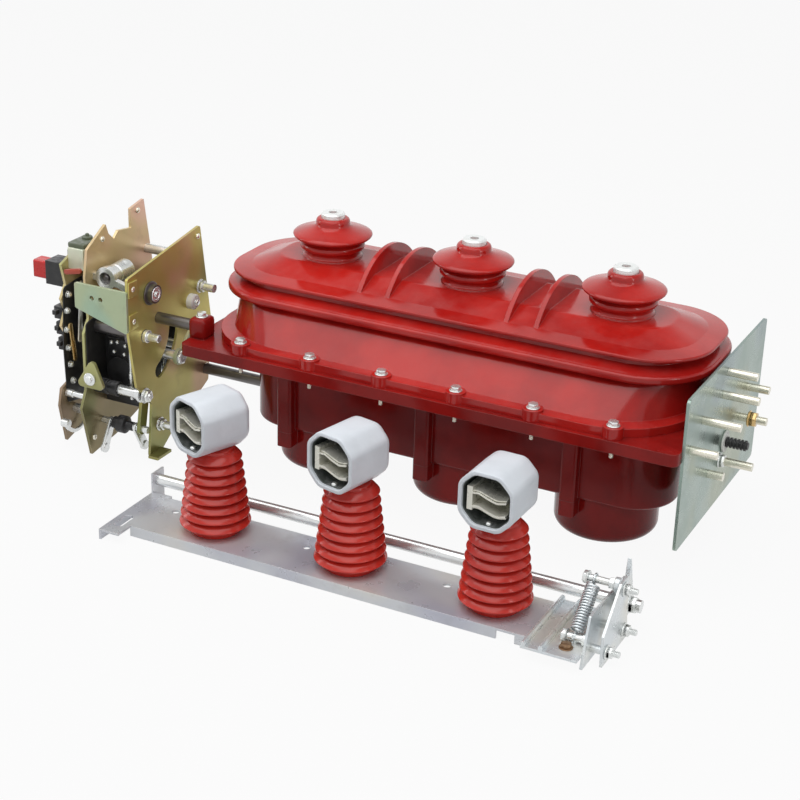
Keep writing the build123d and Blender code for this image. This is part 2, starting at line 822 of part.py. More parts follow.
def button_block():
    """Moulded block on the outer plate, bored for the push button."""
    left = outer_plate_x - sheet - block_length
    block = box_between(left, outer_plate_x - sheet, block_y - block_depth / 2, block_y + block_depth / 2,
                        block_z - block_height / 2, block_z + block_height / 2)
    mouth = Pos(block_y, block_z) * RectangleRounded(
        button_width + 2 * button_gap, button_height + 2 * button_gap, button_corner + button_gap)
    return block - upright(left - overrun, block_length - sheet + overrun, mouth)


def push_button():
    """Red push button, in its block and standing out of it."""
    left = outer_plate_x - sheet - block_length
    depth = block_length - sheet - button_travel - seat_gap
    outline = Pos(block_y, block_z) * RectangleRounded(button_width, button_height, button_corner)
    return upright(left - button_length, button_length + depth, outline)


posts = [(k - (phase_count - 1) / 2) * base_pitch - base_shift for k in range(phase_count)]
post_top = base_height + post_height
base_row = -(flange_width / 2 + base_distance)
base_left = posts[0] - base_left_offset
base_right = posts[-1] + base_right_offset
base_front = base_row - base_front_offset
base_back = base_row + base_back_offset
shaft_y = base_back + shaft_setback
shaft_z = base_height + shaft_rise
foot_left = base_left - foot_plate
foot_front = base_front - foot_overhang
foot_back = base_back + foot_back_offset
angle_left = base_right - angle_lap
bearing_x = base_right + bearing_offset
bearing_back = shaft_y + bearing_back_offset
lever_x = bearing_x + base_sheet + lever_gap
shaft_left = foot_left - shaft_end
shaft_right = lever_x + lever_thickness + shaft_stub
lever_pin_y = shaft_y + lever_offset * cos(radians(lever_angle))
lever_pin_z = shaft_z + lever_offset * sin(radians(lever_angle))
return_spring_x = bearing_x - return_spring_setback
return_anchor_y = foot_front + anchor_setback
return_anchor_z = base_height + anchor_rise


def base_channel():
    """Sheet channel that carries the posts, with its flanges turned down."""
    outer = box_between(base_left, base_right, base_front, base_back, 0, base_height)
    inner = box_between(base_left - overrun, base_right + overrun, base_front + base_sheet,
                        base_back - base_sheet, -overrun, base_height - base_sheet)
    channel = outer - inner
    for x in posts:
        channel = channel - upward(x - base_hole_offset, base_row + base_hole_setback, 0, base_hole_radius,
                                   base_height + overrun)
    corner = box_between(base_right - 2 * base_notch, base_right - base_notch, base_front - overrun,
                         base_front + base_sheet, -overrun, base_height - base_sheet)
    return channel - corner


def post_insulator(x):
    """Ribbed post: a tapering core with like sheds that grow smaller upwards."""
    points = [(0, base_height), (post_base_radius, base_height)]
    pitch = (post_height - post_first_shed) / post_sheds
    for k in range(post_sheds):
        share = k / (post_sheds - 1)
        tip = post_shed_low + (post_shed_high - post_shed_low) * share
        core = post_core_low + (post_core_high - post_core_low) * share
        z = base_height + post_first_shed + k * pitch
        points += [(core, z - post_shed_thickness / 2), (tip, z - post_shed_thickness / 4),
                   (tip, z + post_shed_thickness / 4), (core, z + post_shed_thickness)]
    points += [(post_core_high, post_top), (0, post_top)]
    return Pos(x, base_row, 0) * revolve(Plane.XZ * Polygon(*points, align=None), axis=Axis.Z)


def shroud_place(x, yaw):
    """Frame of one shroud: its opening looks along -Y, turned by the yaw."""
    return Pos(x, base_row, post_top) * Rot(0, 0, yaw)


def octagon(width, height, cut, radius):
    """Rectangle with cut and rounded corners, standing on its lower edge."""
    outline = chamfer(Rectangle(width, height).vertices(), cut)
    return Pos(0, height / 2) * fillet(outline.vertices(), radius)


def contact_shroud(x, yaw):
    """Cast housing open at the front, rounded at its closed back."""
    front = -shroud_length / 2 - shroud_forward
    section = Plane.XZ.offset(-front)
    outside = extrude(section * octagon(shroud_width, shroud_height, shroud_chamfer, shroud_round),
                      amount=shroud_length, dir=(0, 1, 0))
    outside = fillet(outside.faces().sort_by(Axis.Y)[-1].edges(), shroud_back_edge)
    lift = Pos(0, shroud_wall)
    inside = section * (lift * octagon(shroud_width - 2 * shroud_wall, shroud_height - 2 * shroud_wall,
                                       shroud_chamfer - shroud_wall / 2, shroud_round / 2))
    hollow = extrude(inside, amount=shroud_length - shroud_wall, dir=(0, 1, 0))
    return shroud_place(x, yaw) * (outside - hollow)


def clip_leaf(high):
    """Wavy contact leaf, drawn across the mouth from its block at a height towards the other side."""
    start = -clip_half_width + clip_block_width / 2
    step = (clip_half_width - start) / 4
    run = [(start, high), (start + step, high + clip_wave / 4), (start + 2 * step, high - clip_wave / 2),
           (start + 3 * step, high - clip_wave), (clip_half_width, high - clip_wave / 2)]
    leaf = Polygon(*run, *[(x, z - clip_thickness) for x, z in reversed(run)], align=None)
    bends = [corner for corner in leaf.vertices()
             if start + clip_thickness < corner.X < clip_half_width - clip_thickness]
    return fillet(bends, clip_bend_radius)


def contact_clip(x, yaw):
    """Two wavy contact leaves on an upright block, on a foot at the back of the shroud."""
    back = shroud_length / 2 - shroud_forward - shroud_wall
    middle = shroud_height / 2
    front = back - clip_foot_depth - clip_depth
    block = box_between(-clip_half_width, -clip_half_width + clip_block_width, front, back,
                        middle - clip_block_height / 2, middle + clip_block_height / 2)
    foot = box_between(-clip_half_width, clip_half_width, back - clip_foot_depth, back,
                       middle - clip_block_height / 2, middle + clip_block_height / 2)
    clip = block + foot
    depth = clip_depth + clip_foot_depth / 2
    for high in (clip_leaf_rise, clip_leaf_rise - clip_leaf_drop):
        leaf = Pos(0, middle) * clip_leaf(high)
        clip = clip + extrude(Plane.XZ.offset(-front) * leaf, amount=depth, dir=(0, 1, 0))
    return shroud_place(x, yaw) * clip


def left_foot():
    """Sheet foot at the left end of the channel, with a bolt slot and an ear for the shaft."""
    plate = box_between(foot_left, base_left, foot_front, foot_back, base_height - base_sheet, base_height)
    edge = box_between(foot_left, foot_left + base_sheet, foot_front, foot_back, 0, base_height)
    ear_top = shaft_z + foot_ear
    ear = box_between(foot_left, foot_left + base_sheet, shaft_y - foot_ear, shaft_y + foot_ear, 0, ear_top)
    foot = plate + edge + ear
    slot = Pos((foot_left + base_left) / 2, foot_front + foot_slot_length, base_height) * extrude(
        Rot(0, 0, 90) * SlotOverall(foot_slot_length, foot_slot_width),
        amount=base_sheet + overrun, both=True)
    foot = foot - slot
    return foot - rod(foot_left - overrun, foot_left + base_sheet + overrun, shaft_y, shaft_z,
                      shaft_radius + running_gap)


def right_angle():
    """Sheet bracket on the right end of the channel, stiffened by two ridges."""
    low = base_height
    plate = box_between(angle_left, bearing_x, foot_front, foot_back, low, low + base_sheet)
    for start in (angle_left, angle_left + angle_ridge_gap):
        ridge = box_between(start, start + angle_ridge, foot_front, foot_back,
                            low, low + base_sheet + angle_ridge)
        ridge = chamfer(ridge.faces().sort_by(Axis.Z)[-1].edges().filter_by(Axis.Y), angle_ridge / 3)
        plate = plate + ridge
    return plate + upward(return_spring_x, return_anchor_y, low, anchor_radius,
                          return_anchor_z - low + anchor_radius)


def bearing_plate():
    """Upright plate that carries the right end of the shaft."""
    front = foot_front + bearing_front_lean / 2
    points = [(front, 0), (bearing_back, 0), (bearing_back, bearing_height - bearing_slope),
              (bearing_back - bearing_slope, bearing_height), (shaft_y - bearing_slope, bearing_height),
              (front + bearing_front_lean + bearing_front_width, bearing_front_height),
              (front + bearing_front_lean, bearing_front_height)]
    plate = upright(bearing_x, base_sheet, rounded_outline(points, plate_corner / 2))
    return plate - rod(bearing_x - overrun, bearing_x + base_sheet + overrun, shaft_y, shaft_z,
                       shaft_radius + running_gap)


def outer_bracket():
    """Second upright plate outside the lever, held off the bearing plate by two spacers."""
    x = lever_x + lever_thickness + lever_gap
    front = foot_front + 2 * bearing_front_lean - spacer_inset
    back = front + bracket_plate_width
    points = [(front, 0), (back, 0), (back - bracket_plate_front / 4, bracket_plate_height),
              (back - bracket_plate_front / 4 - bracket_plate_top, bracket_plate_height),
              (front, bracket_plate_front)]
    plate = upright(x, base_sheet, rounded_outline(points, plate_corner / 2))
    for y in (front + spacer_inset, back - spacer_inset):
        plate = plate + rod(bearing_x + base_sheet, x, y, spacer_height, spacer_radius)
    return plate


def trip_shaft():
    """Round shaft behind the posts, from the left foot through the bearing plate."""
    return rod(shaft_left, shaft_right, shaft_y, shaft_z, shaft_radius)


def shaft_lever():
    """Lever on the shaft: an arm with the spring pin and a pointed blade."""
    tip = (shaft_y + lever_blade * cos(radians(blade_angle)),
           shaft_z + lever_blade * sin(radians(blade_angle)))
    across = (lever_hub_radius * sin(radians(blade_angle)), -lever_hub_radius * cos(radians(blade_angle)))
    blade = Polygon((shaft_y + across[0], shaft_z + across[1]), tip,
                    (shaft_y - across[0], shaft_z - across[1]), align=None)
    arm = SlotOverall(lever_offset + 2 * lever_eye_radius, 2 * lever_eye_radius).moved(
        Location(((shaft_y + lever_pin_y) / 2, (shaft_z + lever_pin_z) / 2), lever_angle))
    hub = Pos(shaft_y, shaft_z) * Circle(lever_hub_radius)
    lever = upright(lever_x, lever_thickness, blade + arm + hub)
    lever = lever - rod(lever_x - overrun, lever_x + lever_thickness + overrun, shaft_y, shaft_z,
                        shaft_radius)
    return lever + rod(return_spring_x - lever_pin_stub, lever_x, lever_pin_y, lever_pin_z, lever_pin_radius)


def return_spring():
    """Close wound return spring between the lever's pin and the post on the bracket."""
    start_y = lever_pin_y
    start_z = lever_pin_z
    length = hypot(return_anchor_y - start_y, return_anchor_z - start_z)
    clear_start = lever_pin_radius + return_wire
    clear_end = anchor_radius + return_wire
    span = length - clear_start - clear_end
    pitch = span / return_coils
    points = [(0, clear_start)]
    for k in range(return_coils):
        low = clear_start + k * pitch
        points += [(return_coil_radius - return_wire / 2, low), (return_coil_radius, low + pitch / 2)]
    points += [(return_coil_radius - return_wire / 2, clear_start + span), (0, clear_start + span)]
    coil = revolve(Plane.XZ * Polygon(*points, align=None), axis=Axis.Z)
    along = Vector(0, return_anchor_y - start_y, return_anchor_z - start_z)
    return Plane(origin=(return_spring_x, start_y, start_z), x_dir=(1, 0, 0), z_dir=along) * coil


os.makedirs("parts", exist_ok=True)
export("lower_shell", lower_shell())
export("bells", bells())
export("bottom_terminals", bottom_terminals())
export("upper_shell", upper_shell())
export("bushings", bushings())
export("top_terminals", top_terminals())
export("right_end_plate", right_end_plate())
export("end_plate_studs", end_plate_studs())
export("interlock_sleeve", interlock_sleeve())
export("inner_plate", inner_plate())
export("middle_plate", middle_plate())
export("outer_plate", outer_plate())
export("plate_standoffs", plate_standoffs())
export("inner_tie_rods", tie_rods(inner_tie_shares, middle_plate_x, inner_plate_x - sheet))
export("outer_tie_rods", tie_rods(outer_tie_shares, outer_plate_x, middle_plate_x - sheet))
export("pivot_bush", pivot_bush())
export("guide_roller", guide_roller())
export("plate_studs", plate_studs())
export("front_bracket", front_bracket())
export("hook_eye", hook_eye())
export("coil_box", coil_box())
export("main_spring", main_spring())
export("front_gusset", front_gusset())
export("gear_case", gear_case())
export("trip_rod", trip_rod())
export("trip_lever", trip_lever())
export("foot_bracket", foot_bracket())
export("drive_crank", drive_crank())
export("crank_pin", crank_pin())
export("drive_link", drive_link())
export("button_block", button_block())
export("push_button", push_button())
export("base_channel", base_channel())
for side, x, yaw in zip(("left", "middle", "right"), posts, shroud_yaws):
    export("post_insulator_" + side, post_insulator(x))
    export("contact_shroud_" + side, contact_shroud(x, yaw))
    export("contact_clip_" + side, contact_clip(x, yaw))
export("left_foot", left_foot())
export("right_angle", right_angle())
export("bearing_plate", bearing_plate())
export("outer_bracket", outer_bracket())
export("trip_shaft", trip_shaft())
export("shaft_lever", shaft_lever())
export("return_spring", return_spring())
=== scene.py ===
"""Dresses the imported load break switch: finishes, fasteners, springs and ribbed posts, with a studio round it."""

import logging
from dataclasses import dataclass, field
from enum import Enum
from math import cos, pi, radians, sin, tan
from typing import Dict, Iterable, List, Sequence, Tuple

import bpy
from mathutils import Matrix, Vector


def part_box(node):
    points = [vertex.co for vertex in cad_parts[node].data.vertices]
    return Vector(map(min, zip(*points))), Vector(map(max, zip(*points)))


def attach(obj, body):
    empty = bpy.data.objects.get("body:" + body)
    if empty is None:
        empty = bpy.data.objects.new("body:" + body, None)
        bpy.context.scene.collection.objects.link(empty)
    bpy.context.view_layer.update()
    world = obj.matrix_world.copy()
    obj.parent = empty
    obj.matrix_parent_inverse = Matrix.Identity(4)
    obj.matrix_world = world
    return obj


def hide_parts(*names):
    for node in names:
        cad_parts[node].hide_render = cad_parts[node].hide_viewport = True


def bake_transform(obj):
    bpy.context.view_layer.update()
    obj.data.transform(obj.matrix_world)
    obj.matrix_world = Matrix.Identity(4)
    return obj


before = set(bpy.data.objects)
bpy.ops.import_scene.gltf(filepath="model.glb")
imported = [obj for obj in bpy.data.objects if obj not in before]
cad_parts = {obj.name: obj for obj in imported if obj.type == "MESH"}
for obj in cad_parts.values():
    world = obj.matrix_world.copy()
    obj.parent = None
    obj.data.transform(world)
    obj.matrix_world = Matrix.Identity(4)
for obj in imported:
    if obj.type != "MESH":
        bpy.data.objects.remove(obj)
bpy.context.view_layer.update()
LOG = logging.getLogger("load_break_switch")
MM = 0.001
Colour = Tuple[float, float, float]
Point = Tuple[float, float, float]
Profile = Sequence[Tuple[float, float]]
Pairs = Tuple[Tuple[float, float], ...]


class Body(Enum):
    """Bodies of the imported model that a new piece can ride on."""

    SWITCH = "switch"
    CRANK = "crank"
    TRIP = "trip"


class Way(Enum):
    """Directions that a fastener's head can point."""

    RIGHT = (1.0, 0.0, 0.0)
    LEFT = (-1.0, 0.0, 0.0)
    FRONT = (0.0, -1.0, 0.0)
    BACK = (0.0, 1.0, 0.0)
    UP = (0.0, 0.0, 1.0)
    DOWN = (0.0, 0.0, -1.0)


@dataclass(frozen=True)
class NodeBox:
    """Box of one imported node, in millimetres."""

    low: Vector
    high: Vector

    @classmethod
    def of(cls, node: str) -> "NodeBox":
        """Reads the box of a node."""
        low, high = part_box(node)
        return cls(Vector(low) / MM, Vector(high) / MM)

    @property
    def middle(self) -> Vector:
        """Centre of the box."""
        return (self.low + self.high) / 2

    def at(self, x: float, y: float, z: float) -> Vector:
        """Gives the point at these shares of the box's sides."""
        size = self.high - self.low
        return self.low + Vector((x * size.x, y * size.y, z * size.z))


class Graph:
    """Node tree of one finish, with short calls for the nodes that the finishes share."""

    def __init__(self, name: str) -> None:
        """Starts a material with one shader.

        Args:
            name: The material's name.
        """
        self.material = bpy.data.materials.new(name)
        self.material.use_nodes = True
        self.nodes = self.material.node_tree.nodes
        self.links = self.material.node_tree.links
        self.nodes.clear()
        output = self.nodes.new("ShaderNodeOutputMaterial")
        self.shader = self.nodes.new("ShaderNodeBsdfPrincipled")
        self.links.new(self.shader.outputs["BSDF"], output.inputs["Surface"])
        self.place = self.nodes.new("ShaderNodeTexCoord").outputs["Object"]
        self.normal = self.nodes.new("ShaderNodeNewGeometry").outputs["Normal"]

    def feed(self, socket: bpy.types.NodeSocket, value: object) -> None:
        """Links a socket to another, or sets it to a plain value."""
        if isinstance(value, bpy.types.NodeSocket):
            self.links.new(value, socket)
        else:
            socket.default_value = value

    def noise(self, scale: float, detail: float = 4.0, stretch: Point = (1.0, 1.0, 1.0)) -> bpy.types.NodeSocket:
        """Adds noise over the piece.

        Args:
            scale: Cells per metre.
            detail: Octaves of finer noise.
            stretch: Factors on the three axes, small along a direction that the pattern is drawn out in.

        Returns:
            The noise value, about 0.3 to 0.7.
        """
        mapping = self.nodes.new("ShaderNodeMapping")
        mapping.inputs["Scale"].default_value = stretch
        self.links.new(self.place, mapping.inputs["Vector"])
        node = self.nodes.new("ShaderNodeTexNoise")
        self.links.new(mapping.outputs["Vector"], node.inputs["Vector"])
        node.inputs["Scale"].default_value = scale
        node.inputs["Detail"].default_value = detail
        node.inputs["Roughness"].default_value = 0.6
        return node.outputs["Fac"]

    def cells(self, scale: float) -> bpy.types.NodeSocket:
        """Adds a crystal pattern: one grey value for each cell."""
        node = self.nodes.new("ShaderNodeTexVoronoi")
        self.links.new(self.place, node.inputs["Vector"])
        node.inputs["Scale"].default_value = scale
        split = self.nodes.new("ShaderNodeSeparateColor")
        self.links.new(node.outputs["Color"], split.inputs["Color"])
        return split.outputs["Red"]

    def rings(self, per_metre: float, axis: str) -> bpy.types.NodeSocket:
        """Adds fine bands across one axis, as a thread or a turned surface has."""
        node = self.nodes.new("ShaderNodeTexWave")
        node.bands_direction = axis
        node.wave_profile = "SIN"
        node.inputs["Scale"].default_value = per_metre * pi / 10
        node.inputs["Distortion"].default_value = 0.0
        self.links.new(self.place, node.inputs["Vector"])
        return node.outputs["Fac"]

    def ramp(self, value: object, low: float, high: float, start: float = 0.0,
             end: float = 1.0) -> bpy.types.NodeSocket:
        """Maps a range of values smoothly onto another and holds it there.

        Args:
            value: The socket to map.
            low: Value that gives start.
            high: Value that gives end.
            start: Result at low.
            end: Result at high.

        Returns:
            The mapped value.
        """
        node = self.nodes.new("ShaderNodeMapRange")
        node.interpolation_type = "SMOOTHSTEP"
        self.feed(node.inputs["Value"], value)
        for name, number in (("From Min", low), ("From Max", high), ("To Min", start), ("To Max", end)):
            node.inputs[name].default_value = number
        return node.outputs["Result"]

    def sum(self, operation: str, first: object, second: object) -> bpy.types.NodeSocket:
        """Adds a math node on two values, held between 0 and 1."""
        node = self.nodes.new("ShaderNodeMath")
        node.operation = operation
        node.use_clamp = True
        self.feed(node.inputs[0], first)
        self.feed(node.inputs[1], second)
        return node.outputs["Value"]

    def mix(self, share: object, first: object, second: object) -> bpy.types.NodeSocket:
        """Mixes two colours.

        Args:
            share: Share of the second colour.
            first: Colour or colour socket.
            second: Colour or colour socket.

        Returns:
            The mixed colour.
        """
        node = self.nodes.new("ShaderNodeMix")
        node.data_type = "RGBA"
        self.feed(node.inputs["Factor"], share)
        for socket, colour in ((node.inputs[6], first), (node.inputs[7], second)):
            self.feed(socket, (*colour, 1.0) if isinstance(colour, tuple) else colour)
        return node.outputs[2]

    def upward(self, low: float, high: float) -> bpy.types.NodeSocket:
        """Gives 1 on faces that look up, where dust settles, and 0 on the rest."""
        split = self.nodes.new("ShaderNodeSeparateXYZ")
        self.links.new(self.normal, split.inputs["Vector"])
        return self.ramp(split.outputs["Z"], low, high)

    def lowness(self, top: float, bottom: float) -> bpy.types.NodeSocket:
        """Gives 0 above one height and 1 below another, in millimetres, for painted shade that darkens the lower parts.
        """
        split = self.nodes.new("ShaderNodeSeparateXYZ")
        self.links.new(self.place, split.inputs["Vector"])
        return self.ramp(split.outputs["Z"], top * MM, bottom * MM)

    def rounded(self, radius: float) -> bpy.types.NodeSocket:
        """Gives the normal of the surface with its edges rounded, in millimetres."""
        node = self.nodes.new("ShaderNodeBevel")
        node.samples = 6
        node.inputs["Radius"].default_value = radius * MM
        return node.outputs["Normal"]

    def edges(self, rounded: bpy.types.NodeSocket) -> bpy.types.NodeSocket:
        """Gives 1 along edges, where the rounded normal leaves the flat one."""
        node = self.nodes.new("ShaderNodeVectorMath")
        node.operation = "DOT_PRODUCT"
        self.links.new(rounded, node.inputs[0])
        self.links.new(self.normal, node.inputs[1])
        return self.ramp(node.outputs["Value"], 0.995, 0.86)

    def bump(self, height: object, depth: float, under: object = None) -> bpy.types.NodeSocket:
        """Raises the surface by a value.

        Args:
            height: The value.
            depth: Height of the full range in millimetres.
            under: Normal that the relief is added to.

        Returns:
            The new normal.
        """
        node = self.nodes.new("ShaderNodeBump")
        node.inputs["Strength"].default_value = 1.0
        node.inputs["Distance"].default_value = depth * MM
        self.links.new(height, node.inputs["Height"])
        if under is not None:
            self.links.new(under, node.inputs["Normal"])
        return node.outputs["Normal"]

    def close(self, colour: object, roughness: object, normal: object, metallic: float = 0.0) -> bpy.types.Material:
        """Feeds the shader and returns the finished material."""
        self.feed(self.shader.inputs["Base Color"], (*colour, 1.0) if isinstance(colour, tuple) else colour)
        self.feed(self.shader.inputs["Roughness"], roughness)
        self.feed(self.shader.inputs["Normal"], normal)
        self.shader.inputs["Metallic"].default_value = metallic
        return self.material


@dataclass(frozen=True)
class CastEpoxy:
    """Glossy cast resin with slow waves, cloudy colour, dust on its upper faces and a painted highlight along its
    edges.
    """

    name: str
    colour: Colour
    deep: Colour
    # pale colour of the dust on upper faces, also used for the painted edge highlight
    dust: Colour = (0.48, 0.24, 0.22)
    gloss: float = 0.09
    specular: float = 0.38
    dust_share: float = 0.05
    edge_highlight_share: float = 0.16

    def make(self) -> bpy.types.Material:
        """Builds the material."""
        graph = Graph(self.name)
        cloud = graph.ramp(graph.noise(9.0, 5.0), 0.34, 0.66)
        colour = graph.mix(cloud, self.deep, self.colour)
        rounded = graph.rounded(1.4)
        # painted highlight: the edges are mixed towards the pale dust colour, as if lit
        edge = graph.sum("MULTIPLY", graph.edges(rounded), self.edge_highlight_share)
        colour = graph.mix(edge, colour, self.dust)
        settled = graph.sum("MULTIPLY", graph.upward(0.35, 0.95), graph.ramp(graph.noise(38.0, 8.0), 0.36, 0.70))
        colour = graph.mix(graph.sum("MULTIPLY", settled, self.dust_share), colour, self.dust)
        smear = graph.ramp(graph.noise(26.0, 6.0, (1.0, 1.0, 0.25)), 0.35, 0.75, 0.0, 0.10)
        roughness = graph.sum("ADD", graph.sum("ADD", smear, self.gloss), graph.sum("MULTIPLY", settled, 0.10))
        waves = graph.bump(graph.noise(55.0, 2.0), 0.08, rounded)
        normal = graph.bump(graph.noise(700.0, 2.0), 0.008, waves)
        graph.shader.inputs["Specular IOR Level"].default_value = self.specular
        return graph.close(colour, roughness, normal)


@dataclass(frozen=True)
class PlatedSheet:
    """Plated sheet steel: tints that drift over the plate, a faint crystal pattern, drawn scratches, edges rubbed bare
    and painted pale as a highlight, and painted shade towards the bottom where it is asked for.
    """

    name: str
    colour: Colour
    warm: Colour
    cool: Colour
    # pale bare metal for the crystal pattern and the rubbed edges, also used for the painted edge highlight
    worn_and_highlight: Colour = (0.62, 0.61, 0.57)
    stain: Colour = (0.12, 0.10, 0.07)
    metallic: float = 0.8
    gloss: float = 0.36
    tint_scale: float = 8.0
    stain_share: float = 0.16
    # painted shade: dark olive that the lower part of the plate is mixed towards
    low_shade: Colour = (0.10, 0.09, 0.035)
    low_shade_share: float = 0.0

    def make(self) -> bpy.types.Material:
        """Builds the material."""
        graph = Graph(self.name)
        drift = graph.noise(self.tint_scale, 2.0)
        colour = graph.mix(graph.ramp(drift, 0.50, 0.66), self.colour, self.warm)
        colour = graph.mix(graph.ramp(drift, 0.48, 0.34), colour, self.cool)
        grain = graph.ramp(graph.cells(180.0), 0.0, 1.0, 0.0, 0.02)
        colour = graph.mix(grain, colour, self.worn_and_highlight)
        dirt = graph.sum("MULTIPLY", graph.ramp(graph.noise(30.0, 7.0), 0.54, 0.76), self.stain_share)
        colour = graph.mix(dirt, colour, self.stain)
        # painted shade: darker towards the bottom of the plate
        if self.low_shade_share:
            colour = graph.mix(graph.sum("MULTIPLY", graph.lowness(190.0, 50.0), self.low_shade_share), colour, self.low_shade)
        # edges rubbed bare in patches and painted pale as a highlight
        rounded = graph.rounded(0.7)
        edge = graph.sum("MULTIPLY", graph.edges(rounded), graph.ramp(graph.noise(90.0, 3.0), 0.36, 0.60, 0.25, 0.9))
        colour = graph.mix(edge, colour, self.worn_and_highlight)
        scratch = graph.noise(420.0, 2.0, (1.0, 0.06, 0.5))
        roughness = graph.sum("ADD", graph.ramp(graph.noise(20.0, 4.0), 0.32, 0.70, 0.0, 0.10), self.gloss)
        roughness = graph.sum("ADD", roughness, graph.sum("MULTIPLY", dirt, 0.3))
        relief = graph.bump(scratch, 0.0012, rounded)
        normal = graph.bump(graph.noise(14.0, 2.0), 0.16, relief)
        return graph.close(colour, roughness, normal, self.metallic)


@dataclass(frozen=True)
class TurnedMetal:
    """Turned or drawn metal with fine rings or a thread, tarnish and a little dirt."""

    name: str
    colour: Colour
    tarnish: Colour
    metallic: float = 0.9
    gloss: float = 0.24
    ring_axis: str = "X"
    rings_per_metre: float = 900.0
    ring_depth: float = 0.02
    tarnish_share: float = 0.25

    def make(self) -> bpy.types.Material:
        """Builds the material."""
        graph = Graph(self.name)
        patch = graph.sum("MULTIPLY", graph.ramp(graph.noise(45.0, 4.0), 0.44, 0.72), self.tarnish_share)
        colour = graph.mix(patch, self.colour, self.tarnish)
        roughness = graph.sum("ADD", graph.ramp(graph.noise(60.0, 3.0), 0.34, 0.68, 0.0, 0.10), self.gloss)
        rounded = graph.rounded(0.6)
        relief = graph.bump(graph.rings(self.rings_per_metre, self.ring_axis), self.ring_depth, rounded)
        normal = graph.bump(graph.noise(150.0, 2.0), 0.008, relief)
        return graph.close(colour, roughness, normal, self.metallic)


@dataclass(frozen=True)
class MouldedPlastic:
    """Moulded plastic with a fine grain, scuffed edges and dust."""

    name: str
    colour: Colour
    scuff: Colour
    gloss: float = 0.38

    def make(self) -> bpy.types.Material:
        """Builds the material."""
        graph = Graph(self.name)
        rounded = graph.rounded(0.9)
        edge = graph.sum("MULTIPLY", graph.edges(rounded), 0.45)
        cloud = graph.ramp(graph.noise(60.0, 5.0), 0.38, 0.70, 0.0, 0.22)
        colour = graph.mix(graph.sum("ADD", edge, cloud), self.colour, self.scuff)
        settled = graph.sum("MULTIPLY", graph.upward(0.5, 0.95), graph.ramp(graph.noise(120.0, 6.0), 0.34, 0.7))
        colour = graph.mix(graph.sum("MULTIPLY", settled, 0.35), colour, (0.42, 0.42, 0.44))
        roughness = graph.ramp(graph.noise(90.0, 5.0), 0.34, 0.68, self.gloss, self.gloss + 0.18)
        normal = graph.bump(graph.noise(1500.0, 2.0), 0.02, rounded)
        return graph.close(colour, roughness, normal)


@dataclass(frozen=True)
class PaintedCasting:
    """Pale painted casting: satin, slightly grainy, with grey smudges and a painted highlight along its edges."""

    name: str
    colour: Colour
    smudge: Colour
    # pale colour of the painted edge highlight
    edge: Colour
    gloss: float = 0.32
    metallic: float = 0.1

    def make(self) -> bpy.types.Material:
        """Builds the material."""
        graph = Graph(self.name)
        cloud = graph.ramp(graph.noise(16.0, 4.0), 0.42, 0.72, 0.0, 0.4)
        colour = graph.mix(cloud, self.colour, self.smudge)
        rounded = graph.rounded(1.2)
        # painted highlight: edges are mixed towards the pale edge colour
        colour = graph.mix(graph.sum("MULTIPLY", graph.edges(rounded), 0.5), colour, self.edge)
        roughness = graph.ramp(graph.noise(75.0, 5.0), 0.34, 0.68, self.gloss, self.gloss + 0.2)
        waves = graph.bump(graph.noise(90.0, 3.0), 0.08, rounded)
        normal = graph.bump(graph.noise(900.0, 2.0), 0.025, waves)
        return graph.close(colour, roughness, normal, self.metallic)


